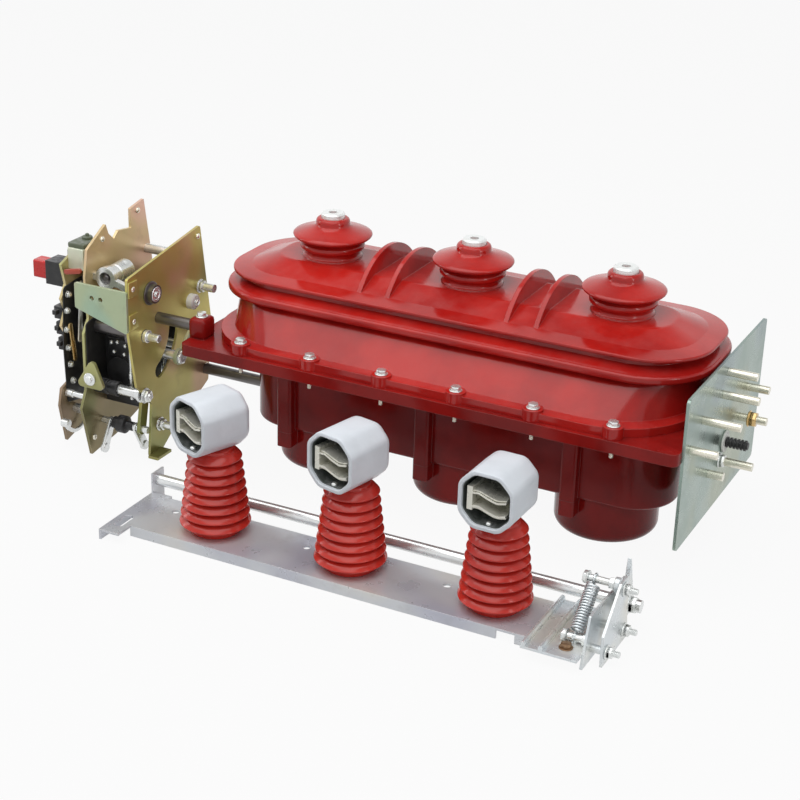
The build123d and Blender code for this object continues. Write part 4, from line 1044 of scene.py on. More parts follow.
@dataclass
class Mechanism(Assembly):
    """Open spring mechanism: dressed plates, springs, collars, levers, switch blocks and the nuts on its rods."""

    front: float = -199.0
    depth: float = 203.0
    bottom: float = 8.0
    height: float = 306.0
    nut_rods: Pairs = ((0.16, 0.33), (0.84, 0.40))
    outer_rods: Pairs = ((0.28, 0.14), (0.54, 0.86), (0.50, 0.40))
    stud_shares: Pairs = ((0.864, 0.709), (0.33, 0.147))
    inner_rivets: Pairs = ((0.84, 0.955), (0.05, 0.86), (0.05, 0.71), (0.92, 0.30))
    middle_rivets: Pairs = ((0.70, 1.06), (0.28, 1.0), (0.10, 0.08))
    outer_rivets: Pairs = ((0.30, 0.72), (0.45, 0.62), (0.32, 0.06))
    rod: Fastener = Fastener(16.0, 6.0, 11.0, 1.6, 5.0, 3.0)
    stud: Fastener = Fastener(15.0, 6.0, 10.0, 1.4, 6.3, 0.5)
    pin: Fastener = Fastener(18.0, 7.0, 11.0, 1.4, 7.6, 0.3)
    small: Fastener = Fastener(8.0, 3.0, 5.0, 0.8, 3.0, 2.0)
    rivet: Fastener = Fastener(8.0, 3.4, 5.0, 0.8, 4.2, 0.0)
    coil_radius: float = 14.2
    coil_wire: float = 2.6
    coil_turns: int = 9
    guide_radius: float = 9.0
    pin_end: float = 2.0
    hub_radius: float = 19.0
    shaft_radius: float = 9.0
    shaft_end: float = 7.0
    crank_stub: Turning = Turning("crank_stub", 40, (
        (8.2, 0), (8.8, 0.6), (8.8, 5), (8, 5.6), (5.6, 5.8), (5.6, 22), (4.8, 23)), offset=(0.5, 0.0, 0.0))
    crank_hub: Turning = Turning("crank_hub", 40, ((18, 0), (19, 1), (19, 7.4), (18, 8.4)), offset=(-0.2, 0.0, 0.0))
    crank_arm: Strap = Strap("crank_arm", 70.0, 15.0, 8.0, -40.0, edge=1.2)
    pivot_rim: Turning = Turning("pivot_rim", 40, ((15.5, 0), (16.5, 0.6), (16.5, 2.0), (15.5, 2.6)))
    pivot_ring: Turning = Turning("pivot_ring", 40, (
        (9.8, 0), (10.4, 0.5), (10.0, 1.3), (7.4, 1.5), (6.8, 0.7), (3.8, 0.6), (3.6, 2.0), (2.8, 2.6), (1.2, 2.4)),
        offset=(-0.6, 0.0, 0.0))
    hook_core: Turning = Turning("hook_core", 32, ((9.4, 0), (9.4, 1.4), (4.8, 1.8), (4.4, 5.0), (3.2, 6.0)),
                                 Way.FRONT, (0.0, -1.0, 0.0))
    eye_reach: float = 21.0
    eye_drop: float = 16.0
    barrel_radius: float = 14.5
    barrel_length: float = 42.0
    sleeve_radius: float = 10.5
    cam_radius: float = 12.5
    cam_shares: Tuple[float, float] = (0.215, 0.14)
    cam_stand: float = 18.0
    switch_shares: Pairs = ((0.33, 0.46), (0.33, 0.54), (0.33, 0.62))
    switch_step: float = 3.0
    switch_block: Block = Block("switch_block", (15.0, 36.0, 19.0), 1.6, (-7.5, 0.0, 0.0))
    switch_nose: Block = Block("switch_nose", (7.0, 9.0, 7.0), 1.2, (-9.0, -21.0, 2.0))
    case_lid: Block = Block("case_lid", (40.0, 4.0, 26.0), 1.5, (0.0, 3.5, -17.0))
    # black sheets on the middle and outer plates that stand in for the shade between the plates
    shade_sheet_round: float = 6.0
    shade_sheet_thickness: float = 1.6
    shade_sheet_edge: float = 0.4
    rod_flange: Turning = Turning("rod_flange", 32, (
        (7.6, 0), (8.2, 0.6), (8.2, 6), (11, 7), (11, 10), (10, 10.6)), offset=(-10.6, 0.0, 0.0))
    lid_screws: Tuple[Point, ...] = ((-13, 1.5, -10), (-3, 1.5, -8), (10, 1.5, -11), (-9, 1.5, -23), (8, 1.5, -24))
    cover_screws: Tuple[Point, ...] = (
        (-482.0, -17.4, 102.0), (-482.0, -17.4, 228.0), (-422.0, -17.4, 102.0), (-422.0, -17.4, 228.0))
    front_bolts: Tuple[Point, ...] = (
        (-535.0, -117.0, 236.0), (-508.0, -117.0, 228.0), (-530.0, -117.0, 168.0), (-506.0, -117.0, 152.0),
        (-533.0, -118.0, 104.0), (-510.0, -118.0, 78.0))
    side_bolts: Pairs = (
        (-150.0, 226.0), (-154.0, 203.0), (-157.0, 176.0), (-155.0, 148.0), (-152.0, 122.0), (-148.0, 96.0))
    slim_springs: Tuple[Tuple[Point, int], ...] = (((-526.0, -126.0, 186.0), 12), ((-506.0, -128.0, 84.0), 9))
    slim_radius: float = 4.2
    slim_wire: float = 0.9
    slim_pitch: float = 2.8
    bar_shares: Tuple[float, float] = (0.19, 0.24)
    cross_bar: Turning = Turning("cross_bar", 28, (
        (4.4, 0), (5.6, 1), (5.6, 12), (4.6, 13), (4.6, 40), (5.6, 41), (5.6, 53), (5, 54)))
    trip_arms: Tuple[Strap, ...] = (Strap("trip_arm", 38.0, 7.0, 4.0, 242.0, (12.0, 0.0, 0.0)),
                                    Strap("trip_arm", 38.0, 7.0, 4.0, 298.0, (54.0, 0.0, 0.0)))
    trip_eye: Pairs = ((6.0, 0), (6.8, 0.6), (6.8, 6.4), (6.0, 7))
    eye_sink: float = 1.5
    case_stem: Turning = Turning("case_stem", 20, (
        (2, 0), (2.6, 0.5), (2.6, 30), (3.6, 31), (3.6, 38), (2.6, 39), (2.6, 70), (2, 71)), Way.UP, (-5.0, -3.6, 16.0))
    latch_shares: Tuple[float, float] = (0.24, 0.13)
    latch_curve: Tuple[float, float, float] = (26.0, 7.0, 150.0)
    latch_thickness: float = 4.0
    latch_stand: float = 6.0
    latch_tilt: float = 200.0
    latch_hub: Turning = Turning("latch_hub", 24, ((5, 0), (6, 0.8), (6, 11), (5, 12)), offset=(0.0, -23.0, -8.0))
    gusset_share: float = 0.36
    gusset_hub: Turning = Turning("gusset_hub", 36, (
        (8.6, 0), (9.2, 0.6), (9.2, 2.4), (8.4, 3), (5.4, 3.2), (5, 5.8), (4, 6.4)), Way.FRONT)
    coil_front: Block = Block("coil_front", (26.0, 3.0, 30.0), 1.0, (0.0, 0.5, 0.0))
    coil_cap: Block = Block("coil_cap", (28.0, 36.0, 8.0), 2.4, (-1.0, 0.0, 3.0))
    coil_side: Block = Block("coil_side", (6.0, 30.0, 20.0), 1.6, (-2.5, 0.0, 0.0))
    coil_knob: Turning = Turning("coil_knob", 28, (
        (6.5, 0), (7.5, 1), (7.5, 4), (6.5, 5), (3.0, 5.4), (2.6, 8), (1.6, 8.6)), Way.UP, (0.0, 8.0, 6.0))
    bracket_tab: Block = Block("bracket_tab", (2.0, 20.0, 22.0), 0.8, (1.0, 0.0, 0.0))
    coil_winding: Turning = Turning("coil_winding", 32, (
        (9, 0), (10, 1), (10, 3), (8, 4), (8, 26), (10, 27), (10, 29), (9, 30)), Way.UP, (30.0, -130.0, 118.0))
    cross_lever: Strap = Strap("cross_lever", 34.0, 6.0, 5.0, 16.0, (9.0, -136.0, 222.0), faces_back=True)
    inner_brace: Strap = Strap("inner_brace", 52.0, 4.0, 3.0, 98.0, (5.0, -146.0, 130.0))
    signal_shares: Tuple[float, float] = (0.20, 0.83)
    signal_arm: Strap = Strap("signal_arm", 22.0, 3.6, 4.0, -12.0, (7.0, 0.0, 0.0), faces_back=True)
    masses: Tuple[Tuple[Point, Point], ...] = (
        ((50.0, 62.0, 40.0), (-463.0, -92.0, 201.0)), ((44.0, 48.0, 108.0), (-521.0, -93.0, 198.0)),
        ((40.0, 40.0, 52.0), (-521.0, -98.0, 90.0)), ((72.0, 2.6, 140.0), (-452.0, -18.6, 165.0)),
        ((50.0, 3.0, 8.0), (-452.0, -16.6, 205.0)), ((50.0, 3.0, 8.0), (-452.0, -16.6, 125.0)))
    # painted shade: outlines of the black sheets on the middle and outer plates
    shade_sheets: Tuple[Tuple[float, Pairs], ...] = (
        (-490.0, ((-189.0, 112.0), (-96.0, 104.0), (-60.0, 150.0), (-92.0, 222.0), (-188.0, 206.0))),
        (-548.0, ((-160.0, 66.0), (-84.0, 52.0), (-74.0, 150.0), (-84.0, 246.0), (-158.0, 238.0), (-164.0, 150.0))))
    flat_links: Tuple[Strap, ...] = (Strap("flat_link", 80.0, 4.6, 2.4, 84.0, (-537.0, -140.0, 158.0)),
                                     Strap("flat_link", 62.0, 4.6, 2.4, 98.0, (-515.0, -134.0, 172.0)))

    def point(self, y_share: float, z_share: float) -> Tuple[float, float]:
        """Gives Y and Z of a place stated in shares of the mechanism's front view."""
        return self.front + y_share * self.depth, self.bottom + z_share * self.height

    def along(self, x: float, y_share: float, z_share: float, way: Way, turn: float = 0.0) -> Matrix:
        """Gives the place of a piece at X and shares of the front view, pointing along a direction."""
        return Bench.stand((x, *self.point(y_share, z_share)), way, turn)

    def charging_spring(self) -> None:
        """Models the coil on its guide bar, in the place of the plain one."""
        box = NodeBox.of("main_spring")
        length = box.high.x - box.low.x
        coil = Bench.coil("charging_spring", self.coil_radius, self.coil_wire,
                          (length - 4 * self.coil_wire) / self.coil_turns, self.coil_turns)
        Bench.move(coil, Matrix.Translation((0, 0, 2 * self.coil_wire * MM)))
        collar = self.coil_radius + self.coil_wire
        bar = Bench.turned("guide_bar", [(collar, 0), (collar, 3), (self.guide_radius, 3.5),
                                         (self.guide_radius, length - 3.5), (collar, length - 3), (collar, length)])
        spring = Bench.join("charging_spring", [coil, bar])
        Bench.move(spring, Bench.stand((box.low.x, box.middle.y, box.middle.z), Way.RIGHT))
        self.fit(spring, "spring_steel", "spring_steel")
        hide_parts("main_spring")

    def rod_nuts(self) -> None:
        """Puts nuts on the rods and the studs."""
        inner, outer = NodeBox.of("inner_plate").high.x, NodeBox.of("outer_plate").low.x
        ends = [self.along(inner, *share, Way.RIGHT, 17) for share in self.nut_rods]
        ends += [self.along(outer, *share, Way.LEFT, 41) for share in self.outer_rods]
        nuts = Bench.repeat("rod_nuts", self.rod.nut("rod_nut"), ends)
        collars = [self.along(inner, *share, Way.RIGHT, 33) for share in self.stud_shares]
        studs = Bench.repeat("stud_nuts", self.stud.nut("stud_nut"), collars)
        self.fit(Bench.join("rod_nuts", [nuts, studs]), "stud", "bolt_zinc")

    def crank(self) -> None:
        """Models the crank in the place of the plain one, and the nut on its pin."""
        inner = NodeBox.of("inner_plate").high.x
        pin, box = NodeBox.of("crank_pin"), NodeBox.of("drive_crank")
        seat = (pin.high.x - self.pin.height - self.pin_end, pin.middle.y, pin.middle.z)
        nut = Bench.move(self.pin.nut("crank_pin_nut"), Bench.stand(seat, Way.RIGHT, 12))
        y, z = box.low.y + self.hub_radius, box.high.z - self.hub_radius
        stub = self.crank_stub.put((inner, y, z))
        self.fit(Bench.join("crank_pin_nut", [nut, stub]), "stud", "bright_bar", Body.CRANK)
        reach = inner - box.low.x
        rings = ((self.shaft_radius, 0), (self.shaft_radius, reach), (self.shaft_end, reach + 1))
        parts = [Turning("crank_shaft", 40, rings).put((box.low.x, y, z))]
        parts += [piece.put((pin.low.x, y, z)) for piece in (self.crank_arm, self.crank_hub)]
        crank = self.fit(Bench.join("crank_forging", parts), "passivated", "dark_steel", Body.CRANK)
        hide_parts("drive_crank")

    def rivets(self) -> None:
        """Puts rivets on the three plates."""
        rows = ((NodeBox.of("inner_plate").high.x, Way.RIGHT, self.inner_rivets),
                (NodeBox.of("middle_plate").high.x, Way.RIGHT, self.middle_rivets),
                (NodeBox.of("outer_plate").low.x, Way.LEFT, self.outer_rivets))
        heads = [self.along(x, *share, way) for x, way, shares in rows for share in shares]
        self.fit(Bench.repeat("plate_rivets", self.rivet.dome("plate_rivet"), heads), "stud", "stud_metal")

    def pivot(self) -> None:
        """Dresses the pivot bush with a washer, a bright ring and a screw, and the roller with its screw."""
        bush = NodeBox.of("pivot_bush")
        self.fit(self.pivot_rim.put(bush.at(0, 0.5, 0.5)), "dark_steel", "dark_steel")
        ring = self.pivot_ring.put(bush.at(1, 0.5, 0.5))
        screw = Bench.move(self.small.bolt("roller_screw"),
                           Bench.stand(NodeBox.of("guide_roller").at(1, 0.5, 0.5), Way.RIGHT, 14))
        self.fit(Bench.join("pivot_ring", [ring, screw]), "stud", "bright_bar")

    def hook_barrel(self) -> None:
        """Models the spring barrel behind the hook's eye, with the screw in the eye."""
        eye = NodeBox.of("hook_eye")
        radius, length = self.barrel_radius, self.barrel_length
        centre = (eye.low.x + self.eye_reach, eye.high.y, eye.high.z - self.eye_drop)
        rings = ((radius - 3, 0), (radius, 1), (radius, 9), (radius - 1.6, 10), (radius - 1.6, 14), (radius - 0.6, 15),
                 (radius - 0.6, length - 10), (radius, length - 9), (radius, length - 1), (radius - 2, length))
        barrel = Turning("hook_barrel", 48, rings, Way.BACK).put(centre)
        self.fit(barrel, "stud", "bolt_zinc")
        self.fit(self.hook_core.put(centre), "dark_steel", "dark_steel")

    def dark_fittings(self) -> None:
        """Models the black collars, the cam, the switch blocks, black sheets on two plates that paint the shade between
        them, and the cases between the plates.
        """
        middle, outer = NodeBox.of("middle_plate").high.x, NodeBox.of("outer_plate").low.x
        r, c = self.sleeve_radius, self.cam_radius
        sleeve = Turning("rod_sleeve", 36, ((r - 1, 0), (r, 1), (r, 20), (r - 1.5, 21), (r - 1.5, 24), (r, 25),
                                            (r, 37), (r - 1, 38)))
        cam = Turning("trip_cam", 36, ((c - 5, 0), (c - 4, 1), (c - 4, 8), (c - 1, 9), (c, 10), (c, 21), (c - 1, 22),
                                       (c - 6, 23), (c - 6, 33), (c - 7, 34)), offset=(self.cam_stand, 0.0, 0.0))
        parts = [sleeve.put((middle, *self.point(*self.nut_rods[0]))), cam.put((middle, *self.point(*self.cam_shares)))]
        for k, share in enumerate(self.switch_shares):
            y, z = self.point(*share)
            spot = (outer, y - self.switch_step * k, z)
            parts += [piece.put(spot) for piece in (self.switch_block, self.switch_nose)]
        parts += [Block("inner_case", size, min(size) / 8).put(place) for size, place in self.masses]
        # painted shade: a black sheet on each of the two plates
        for x, outline in self.shade_sheets:
            shade_sheet = Bench.plate("painted_shade_sheet", Bench.soften(outline, self.shade_sheet_round), self.shade_sheet_thickness,
                                self.shade_sheet_edge)
            parts.append(Bench.move(shade_sheet, Bench.upright((x, 0, 0))))
        parts.append(self.case_lid.put(NodeBox.of("gear_case").at(0.5, 0, 1)))
        self.fit(Bench.join("black_fittings", parts), "black", "black_plastic")

    def bright_fittings(self) -> None:
        """Models the bright collars, screws, rods and levers between the plates."""
        inner, middle = NodeBox.of("inner_plate").low.x, NodeBox.of("middle_plate").high.x
        outer, case = NodeBox.of("outer_plate").high.x, NodeBox.of("gear_case")
        parts = [self.rod_flange.put((inner, *self.point(*self.nut_rods[0])))]
        corner = case.at(0.5, 0, 1)
        screws = [Bench.stand(corner + Vector(spot), Way.FRONT, 15 * k) for k, spot in enumerate(self.lid_screws)]
        screws += [Bench.stand(spot, Way.BACK) for spot in self.cover_screws]
        parts.append(Bench.repeat("case_screws", self.small.dome("case_screw"), screws))
        bolts = [Bench.stand(spot, Way.FRONT, 10 * k) for k, spot in enumerate(self.front_bolts)]
        bolts += [Bench.stand((outer + self.shade_sheet_thickness, *spot), Way.RIGHT, 14 * k)
                  for k, spot in enumerate(self.side_bolts)]
        parts.append(Bench.repeat("case_bolts", self.small.nut("case_bolt"), bolts))
        for place, turns in self.slim_springs:
            spring = Bench.coil("slim_spring", self.slim_radius, self.slim_wire, self.slim_pitch, turns, 16)
            parts.append(Bench.move(spring, Bench.at(place)))
        parts.append(self.cross_bar.put((outer, *self.point(*self.bar_shares))))
        for arm in self.trip_arms:
            hub = (middle, *self.point(*self.cam_shares))
            eye = Bench.turned("trip_eye", self.trip_eye, 28)
            place = Bench.upright(Vector(hub) + Vector(arm.offset), arm.tilt)
            Bench.move(eye, place @ Bench.at((arm.length, 0, -self.eye_sink)))
            parts.append(Bench.join("trip_arm", [arm.put(hub), eye]))
        parts.append(self.case_stem.put(case.at(1, 0, 0)))
        y, z = self.point(*self.latch_shares)
        hook = Bench.plate("latch_hook", Bench.crescent(*self.latch_curve), self.latch_thickness)
        parts.append(Bench.move(hook, Bench.upright((outer + self.latch_stand, y, z), self.latch_tilt)))
        parts.append(self.gusset_hub.put(NodeBox.of("front_gusset").at(0.5, 0, self.gusset_share)))
        parts.append(self.latch_hub.put((outer, y, z)))
        parts += [link.put((0, 0, 0)) for link in self.flat_links]
        self.fit(Bench.join("bright_fittings", parts), "stud", "bright_bar")

    def coloured_fittings(self) -> None:
        """Models the coil's cover, cap and winding, the front bracket's tabs and the reddish arm."""
        inner, outer = NodeBox.of("inner_plate").high.x, NodeBox.of("outer_plate").high.x
        coil = NodeBox.of("coil_box")
        self.fit(self.coil_front.put(coil.at(0.5, 0, 0.5)), "passivated", "coil_cover")
        top = coil.at(0.5, 0.5, 1)
        cap = [self.coil_cap.put(top), self.coil_side.put(coil.at(0, 0.5, 0.5)), self.coil_knob.put(top)]
        self.fit(Bench.join("coil_cap", cap), "black", "olive_plastic")
        tabs = [self.bracket_tab.put((inner, *self.point(*share))) for share in self.inner_rivets[1:3]]
        self.fit(Bench.join("bracket_tabs", tabs), "passivated", "gold_plate")
        bronze = [piece.put((outer, 0, 0)) for piece in (self.coil_winding, self.cross_lever, self.inner_brace)]
        self.fit(Bench.join("coil_winding", bronze), "passivated", "bronze")
        arm = self.signal_arm.put((outer, *self.point(*self.signal_shares)))
        self.fit(arm, "red_plastic", "brick_plastic")

    def build(self) -> None:
        """Builds the pieces and dresses the nodes."""
        self.dress("gold_plate", "inner_plate", "trip_lever", "foot_bracket")
        self.dress("pink_plate", "middle_plate", "outer_plate", "front_gusset")
        self.dress("pale_plate", "front_bracket", "drive_link")
        self.dress("coil_cover", "coil_box")
        self.dress("bright_bar", "inner_tie_rods", "outer_tie_rods", "plate_studs", "trip_rod",
                      "crank_pin", "hook_eye")
        self.dress("dark_steel", "pivot_bush", "plate_standoffs")
        self.dress("white_plastic", "guide_roller")
        self.dress("black_plastic", "button_block", "gear_case")
        self.dress("red_plastic", "push_button")
        for step in (self.charging_spring, self.rod_nuts, self.crank, self.rivets, self.pivot, self.hook_barrel,
                     self.dark_fittings, self.bright_fittings, self.coloured_fittings):
            step()


@dataclass
class ContactBase(Assembly):
    """Lower contact base: ribbed posts, shrouds with a near-black sleeve in each mouth as painted shade, the return
    spring, and the bracket's hardware.
    """

    sheds: int = 8
    first_shed: float = 14.0
    core_low: float = 33.5
    core_high: float = 24.5
    tip_low: float = 46.0
    tip_high: float = 35.0
    foot_radius: float = 33.0
    tip_round: float = 1.2
    row: float = -298.0
    post_top: float = 132.5
    post_x: Tuple[float, float, float] = (-214.0, -16.6, 180.8)
    yaws: Tuple[float, float, float] = (-21.0, -13.0, -2.0)
    shroud_half_width: float = 36.0
    shroud_half_height: float = 37.0
    shroud_chamfer: float = 18.0
    shroud_round: float = 16.0
    shroud_length: float = 78.0
    shroud_back: float = 35.0
    back_edge: float = 14.0
    mouth_share: float = 0.856
    shade_lining_share: float = 0.832
    leaf_run: Pairs = ((-21.5, 0.0), (-9.9, 1.5), (1.8, -3.0), (13.4, -6.0), (25.0, -3.0))
    leaf_heights: Tuple[float, float] = (10.1, -11.9)
    leaf_thickness: float = 1.6
    leaf_depth: float = 46.0
    leaf_front: float = 38.5
    screw_place: Tuple[float, float] = (2.0, -34.0)
    anchor: Point = (298.0, -336.0, 24.0)
    spring_radius: float = 7.6
    spring_wire: float = 1.35
    spring_turns: int = 17
    hook_bend: float = 6.2
    hook_angle: float = 285.0
    pin_offset: Tuple[float, float] = (-37.72, 43.39)
    bolt_inset: float = 13.0
    bolt_height: float = 15.0
    top_inset: float = 22.0
    top_height: float = 74.0
    anchor_head: float = 9.0
    angle_bolt: Point = (294.0, -352.0, 17.5)
    bracket_bolt: Fastener = Fastener(13.0, 6.0, 9.0, 1.6, 4.0, 9.0)
    shaft_nut: Fastener = Fastener(19.0, 8.0, 13.0, 2.0, 7.0, 3.5)
    pin_head: Fastener = Fastener(14.0, 5.0, 8.5, 1.4)
    brown_bolt: Fastener = Fastener(12.0, 4.6, 8.6, 1.2)
    mouth_screw: Fastener = Fastener(8.0, 4.0, 5.0, 0.8, 4.0)

    def post_profile(self, height: float) -> Profile:
        """Gives the rings of one post, with cupped sheds on a tapering core.

        Args:
            height: Height of the post.

        Returns:
            Radius and height of each ring from the foot upwards.
        """
        rings: List[Tuple[float, float]] = [(self.foot_radius - 1.5, 0.0), (self.foot_radius, 1.5)]
        pitch = (height - self.first_shed) / self.sheds
        for k in range(self.sheds):
            share = k / (self.sheds - 1)
            core = self.core_low + (self.core_high - self.core_low) * share
            tip = self.tip_low + (self.tip_high - self.tip_low) * share
            middle = self.first_shed + k * pitch
            rings += [(core - 0.4, middle - 3.0), (core + 0.8, middle - 2.2), (core + 2.4, middle - 1.8)]
            for step in range(7):
                turn = radians(-80 + 22 * step)
                rings.append((tip - self.tip_round + self.tip_round * cos(turn),
                              middle + self.tip_round * sin(turn)))
            rings += [(tip - 2.4, middle + 3.4), (tip - 5.4, middle + 6.4), (core + 2.6, middle + 8.6),
                      (core + 0.6, middle + 9.5)]
        rings += [(self.core_high, height - 0.8), (self.core_high - 0.8, height)]
        return rings

    def posts(self) -> None:
        """Models the three posts in the place of the plain ones."""
        for side in ("left", "middle", "right"):
            node = "post_insulator_" + side
            box = NodeBox.of(node)
            post = Bench.turned("ribbed_post_" + side, self.post_profile(box.high.z - box.low.z), 72, 50.0)
            Bench.move(post, Bench.stand((box.middle.x, box.middle.y, box.low.z), Way.UP))
            self.fit(post, "epoxy_post", "post_red")
            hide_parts(node)

    def leaf_outline(self, height: float) -> Profile:
        """Gives the outline of a thin wavy leaf across a mouth, its corners cut twice."""
        run = list(self.leaf_run)
        for _ in range(2):
            inner = []
            for (x, z), (next_x, next_z) in zip(run, run[1:]):
                inner += [(0.75 * x + 0.25 * next_x, 0.75 * z + 0.25 * next_z),
                          (0.25 * x + 0.75 * next_x, 0.25 * z + 0.75 * next_z)]
            run = [run[0], *inner, run[-1]]
        lower = [(x, z + height - self.leaf_thickness) for x, z in run]
        return lower + [(x, z + height) for x, z in reversed(run)]

    def shrouds(self) -> None:
        """Models the shrouds in the place of the plain ones, with a near-black sleeve inside as painted shade, second
        leaves and a screw in each mouth.
        """
        wide, high, cut = self.shroud_half_width, self.shroud_half_height, self.shroud_chamfer
        outline = Bench.soften([(wide, cut - high), (wide, high - cut), (wide - cut, high), (cut - wide, high),
                                (-wide, high - cut), (-wide, cut - high), (cut - wide, -high), (wide - cut, -high)],
                               self.shroud_round)
        turns = [radians(15 * k) for k in range(7)]
        shell = [(1 - self.back_edge * (1 - sin(turn)) / wide, self.back_edge * (1 - cos(turn))) for turn in turns]
        length, mouth, inside = self.shroud_length, self.mouth_share, self.shade_lining_share
        shell += [(1.0, length - 1.6), (0.988, length - 0.5), (0.972, length), (mouth + 0.02, length),
                  (mouth + 0.006, length - 0.5), (mouth, length - 1.6), (mouth, 7.0)]
        # painted shade: a near-black sleeve inside each mouth
        shade_lining = [(mouth - 0.004, 6.5), (mouth - 0.004, length - 4), (inside, length - 4.6), (inside, 8.0)]
        lay = Matrix(((1, 0, 0), (0, 0, -1), (0, 1, 0))).to_4x4()
        shade_linings, leaves, screws = [], [], []
        for side, x, yaw in zip(("left", "middle", "right"), self.post_x, self.yaws):
            turn = (Bench.at((x, self.row, self.post_top + high))
                    @ Matrix.Rotation(radians(yaw), 4, "Z"))
            back = turn @ Matrix.Translation((0, self.shroud_back * MM, 0)) @ lay
            shroud = Bench.move(Bench.drawn("shroud_casting_" + side, outline, shell, 40.0), back)
            self.fit(shroud, "shroud", "shroud_grey")
            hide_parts("contact_shroud_" + side)
            shade_linings.append(Bench.move(Bench.drawn("mouth_shade_lining", outline, shade_lining, 40.0), back))
            front = turn @ Matrix.Translation((0, (self.leaf_depth - self.leaf_front) * MM, 0)) @ lay
            leaves += [Bench.move(Bench.plate("second_leaf", self.leaf_outline(height), self.leaf_depth, 0.3), front)
                       for height in self.leaf_heights]
            screw = self.mouth_screw.dome("mouth_screw")
            screws.append(Bench.move(screw, turn @ Bench.at((*self.screw_place, -inside * high))))
        self.fit(Bench.join("mouth_shade_linings", shade_linings), "shroud", "mouth_painted_shade")
        self.fit(Bench.join("second_leaves", leaves), "clip", "silver_contact")
        self.fit(Bench.join("mouth_screws", screws), "stud", "bolt_zinc")

    def return_spring(self) -> None:
        """Models the hooked return spring from its anchor to the pin on the lever."""
        start = Vector(self.anchor)
        pin = self.pin_place()
        run = pin - start
        inset = self.hook_bend + self.spring_wire
        length = run.length - 2 * inset
        coil = Bench.coil("return_coil", self.spring_radius, self.spring_wire, length / self.spring_turns,
                          self.spring_turns, 24)
        Bench.move(coil, Matrix.Translation((0, 0, inset * MM)))
        low = Bench.hook("low_hook", self.hook_bend, self.spring_wire, self.hook_angle)
        high = Bench.hook("high_hook", self.hook_bend, self.spring_wire, self.hook_angle)
        Bench.move(low, Matrix.Rotation(radians(-40), 4, "Y"))
        Bench.move(high, Matrix.Translation((0, 0, run.length * MM)) @ Matrix.Rotation(radians(140), 4, "Y"))
        spring = Bench.join("return_spring_wire", [coil, low, high])
        across = Vector((1, 0, 0)).cross(run.normalized())
        turn = Matrix((across, Vector((1, 0, 0)), run.normalized())).transposed().to_4x4()
        turn = turn if turn.determinant() > 0 else turn @ Matrix.Diagonal((-1, 1, 1, 1))
        Bench.move(spring, Matrix.Translation(start * MM) @ turn)
        self.fit(spring, "spring_steel", "spring_steel")
        spring.parent = None
        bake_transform(spring)
        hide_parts("return_spring")

    def pin_place(self) -> Vector:
        """Gives the point on the lever's pin that the spring hooks on."""
        shaft = NodeBox.of("trip_shaft").middle
        return Vector((self.anchor[0], shaft.y + self.pin_offset[0], shaft.z + self.pin_offset[1]))

    def bracket_hardware(self) -> None:
        """Puts the bolts and nuts on the right bracket, and those on the shaft and lever that turn with them."""
        plate = NodeBox.of("outer_bracket")
        spots = [(plate.low.y + self.bolt_inset, self.bolt_height), (plate.high.y - self.bolt_inset, self.bolt_height),
                 (plate.high.y - self.top_inset, self.top_height)]
        ends = [Bench.stand((plate.high.x, y, z), Way.RIGHT, 25 * k) for k, (y, z) in enumerate(spots)]
        nuts = Bench.repeat("bracket_nuts", self.bracket_bolt.nut("bracket_nut"), ends)
        bearing = NodeBox.of("bearing_plate").low.x
        x, y, z = self.anchor
        rod = Bench.turned("anchor_bolt", [(4.0, 0), (4.6, 0.6), (4.6, bearing - x + 8), (4.6, bearing - x + 10)], 24)
        Bench.move(rod, Bench.stand((x - self.anchor_head, y, z), Way.RIGHT))
        head = Bench.move(self.pin_head.bolt("anchor_head"), Bench.stand((x - self.anchor_head, y, z), Way.LEFT, 11))
        collar = Bench.move(self.bracket_bolt.bolt("anchor_collar"), Bench.stand((bearing, y, z), Way.LEFT, 40))
        self.fit(Bench.join("bracket_nuts", [nuts, rod, head, collar]), "stud", "bolt_zinc")
        brown = Bench.move(self.brown_bolt.bolt("angle_bolt"), Bench.stand(self.angle_bolt, Way.UP, 10))
        self.fit(brown, "stud", "bolt_brown")
        lever = NodeBox.of("shaft_lever")
        shaft = NodeBox.of("trip_shaft").middle
        cap = Bench.move(self.shaft_nut.nut("shaft_nut"), Bench.stand((lever.high.x, shaft.y, shaft.z), Way.RIGHT))
        pin = self.pin_place()
        tip = Bench.move(self.pin_head.bolt("pin_head"), Bench.stand((lever.low.x, pin.y, pin.z), Way.LEFT, 20))
        back = Bench.move(self.bracket_bolt.bolt("pin_back"), Bench.stand((lever.high.x - 5, pin.y, pin.z), Way.LEFT))
        self.fit(Bench.join("lever_nuts", [cap, tip, back]), "stud", "bolt_zinc", Body.TRIP)

    def build(self) -> None:
        """Builds the pieces and dresses the nodes."""
        self.dress("rail_zinc", "base_channel", "left_foot")
        self.dress("blue_zinc", "right_angle", "bearing_plate", "outer_bracket", "shaft_lever")
        self.dress("bright_bar", "trip_shaft")
        for side in ("left", "middle", "right"):
            self.dress("silver_contact", "contact_clip_" + side)
        for step in (self.posts, self.shrouds, self.return_spring, self.bracket_hardware):
            step()


@dataclass(frozen=True)
class Lamp:
    """Rectangular lamp that looks at the switch: place and sides in metres, power in watts."""

    name: str
    place: Point
    size: Tuple[float, float]
    power: float
    target: Point = (0.0, -0.1, 0.15)

    def hang(self) -> None:
        """Adds the lamp to the scene."""
        data = bpy.data.lights.new(self.name, "AREA")
        data.shape = "RECTANGLE"
        data.size, data.size_y = self.size
        data.energy = self.power
        holder = bpy.data.objects.new(self.name, data)
        aim = (Vector(self.target) - Vector(self.place)).to_track_quat("-Z", "Y")
        holder.matrix_world = Matrix.Translation(self.place) @ aim.to_matrix().to_4x4()
        bpy.context.collection.objects.link(holder)


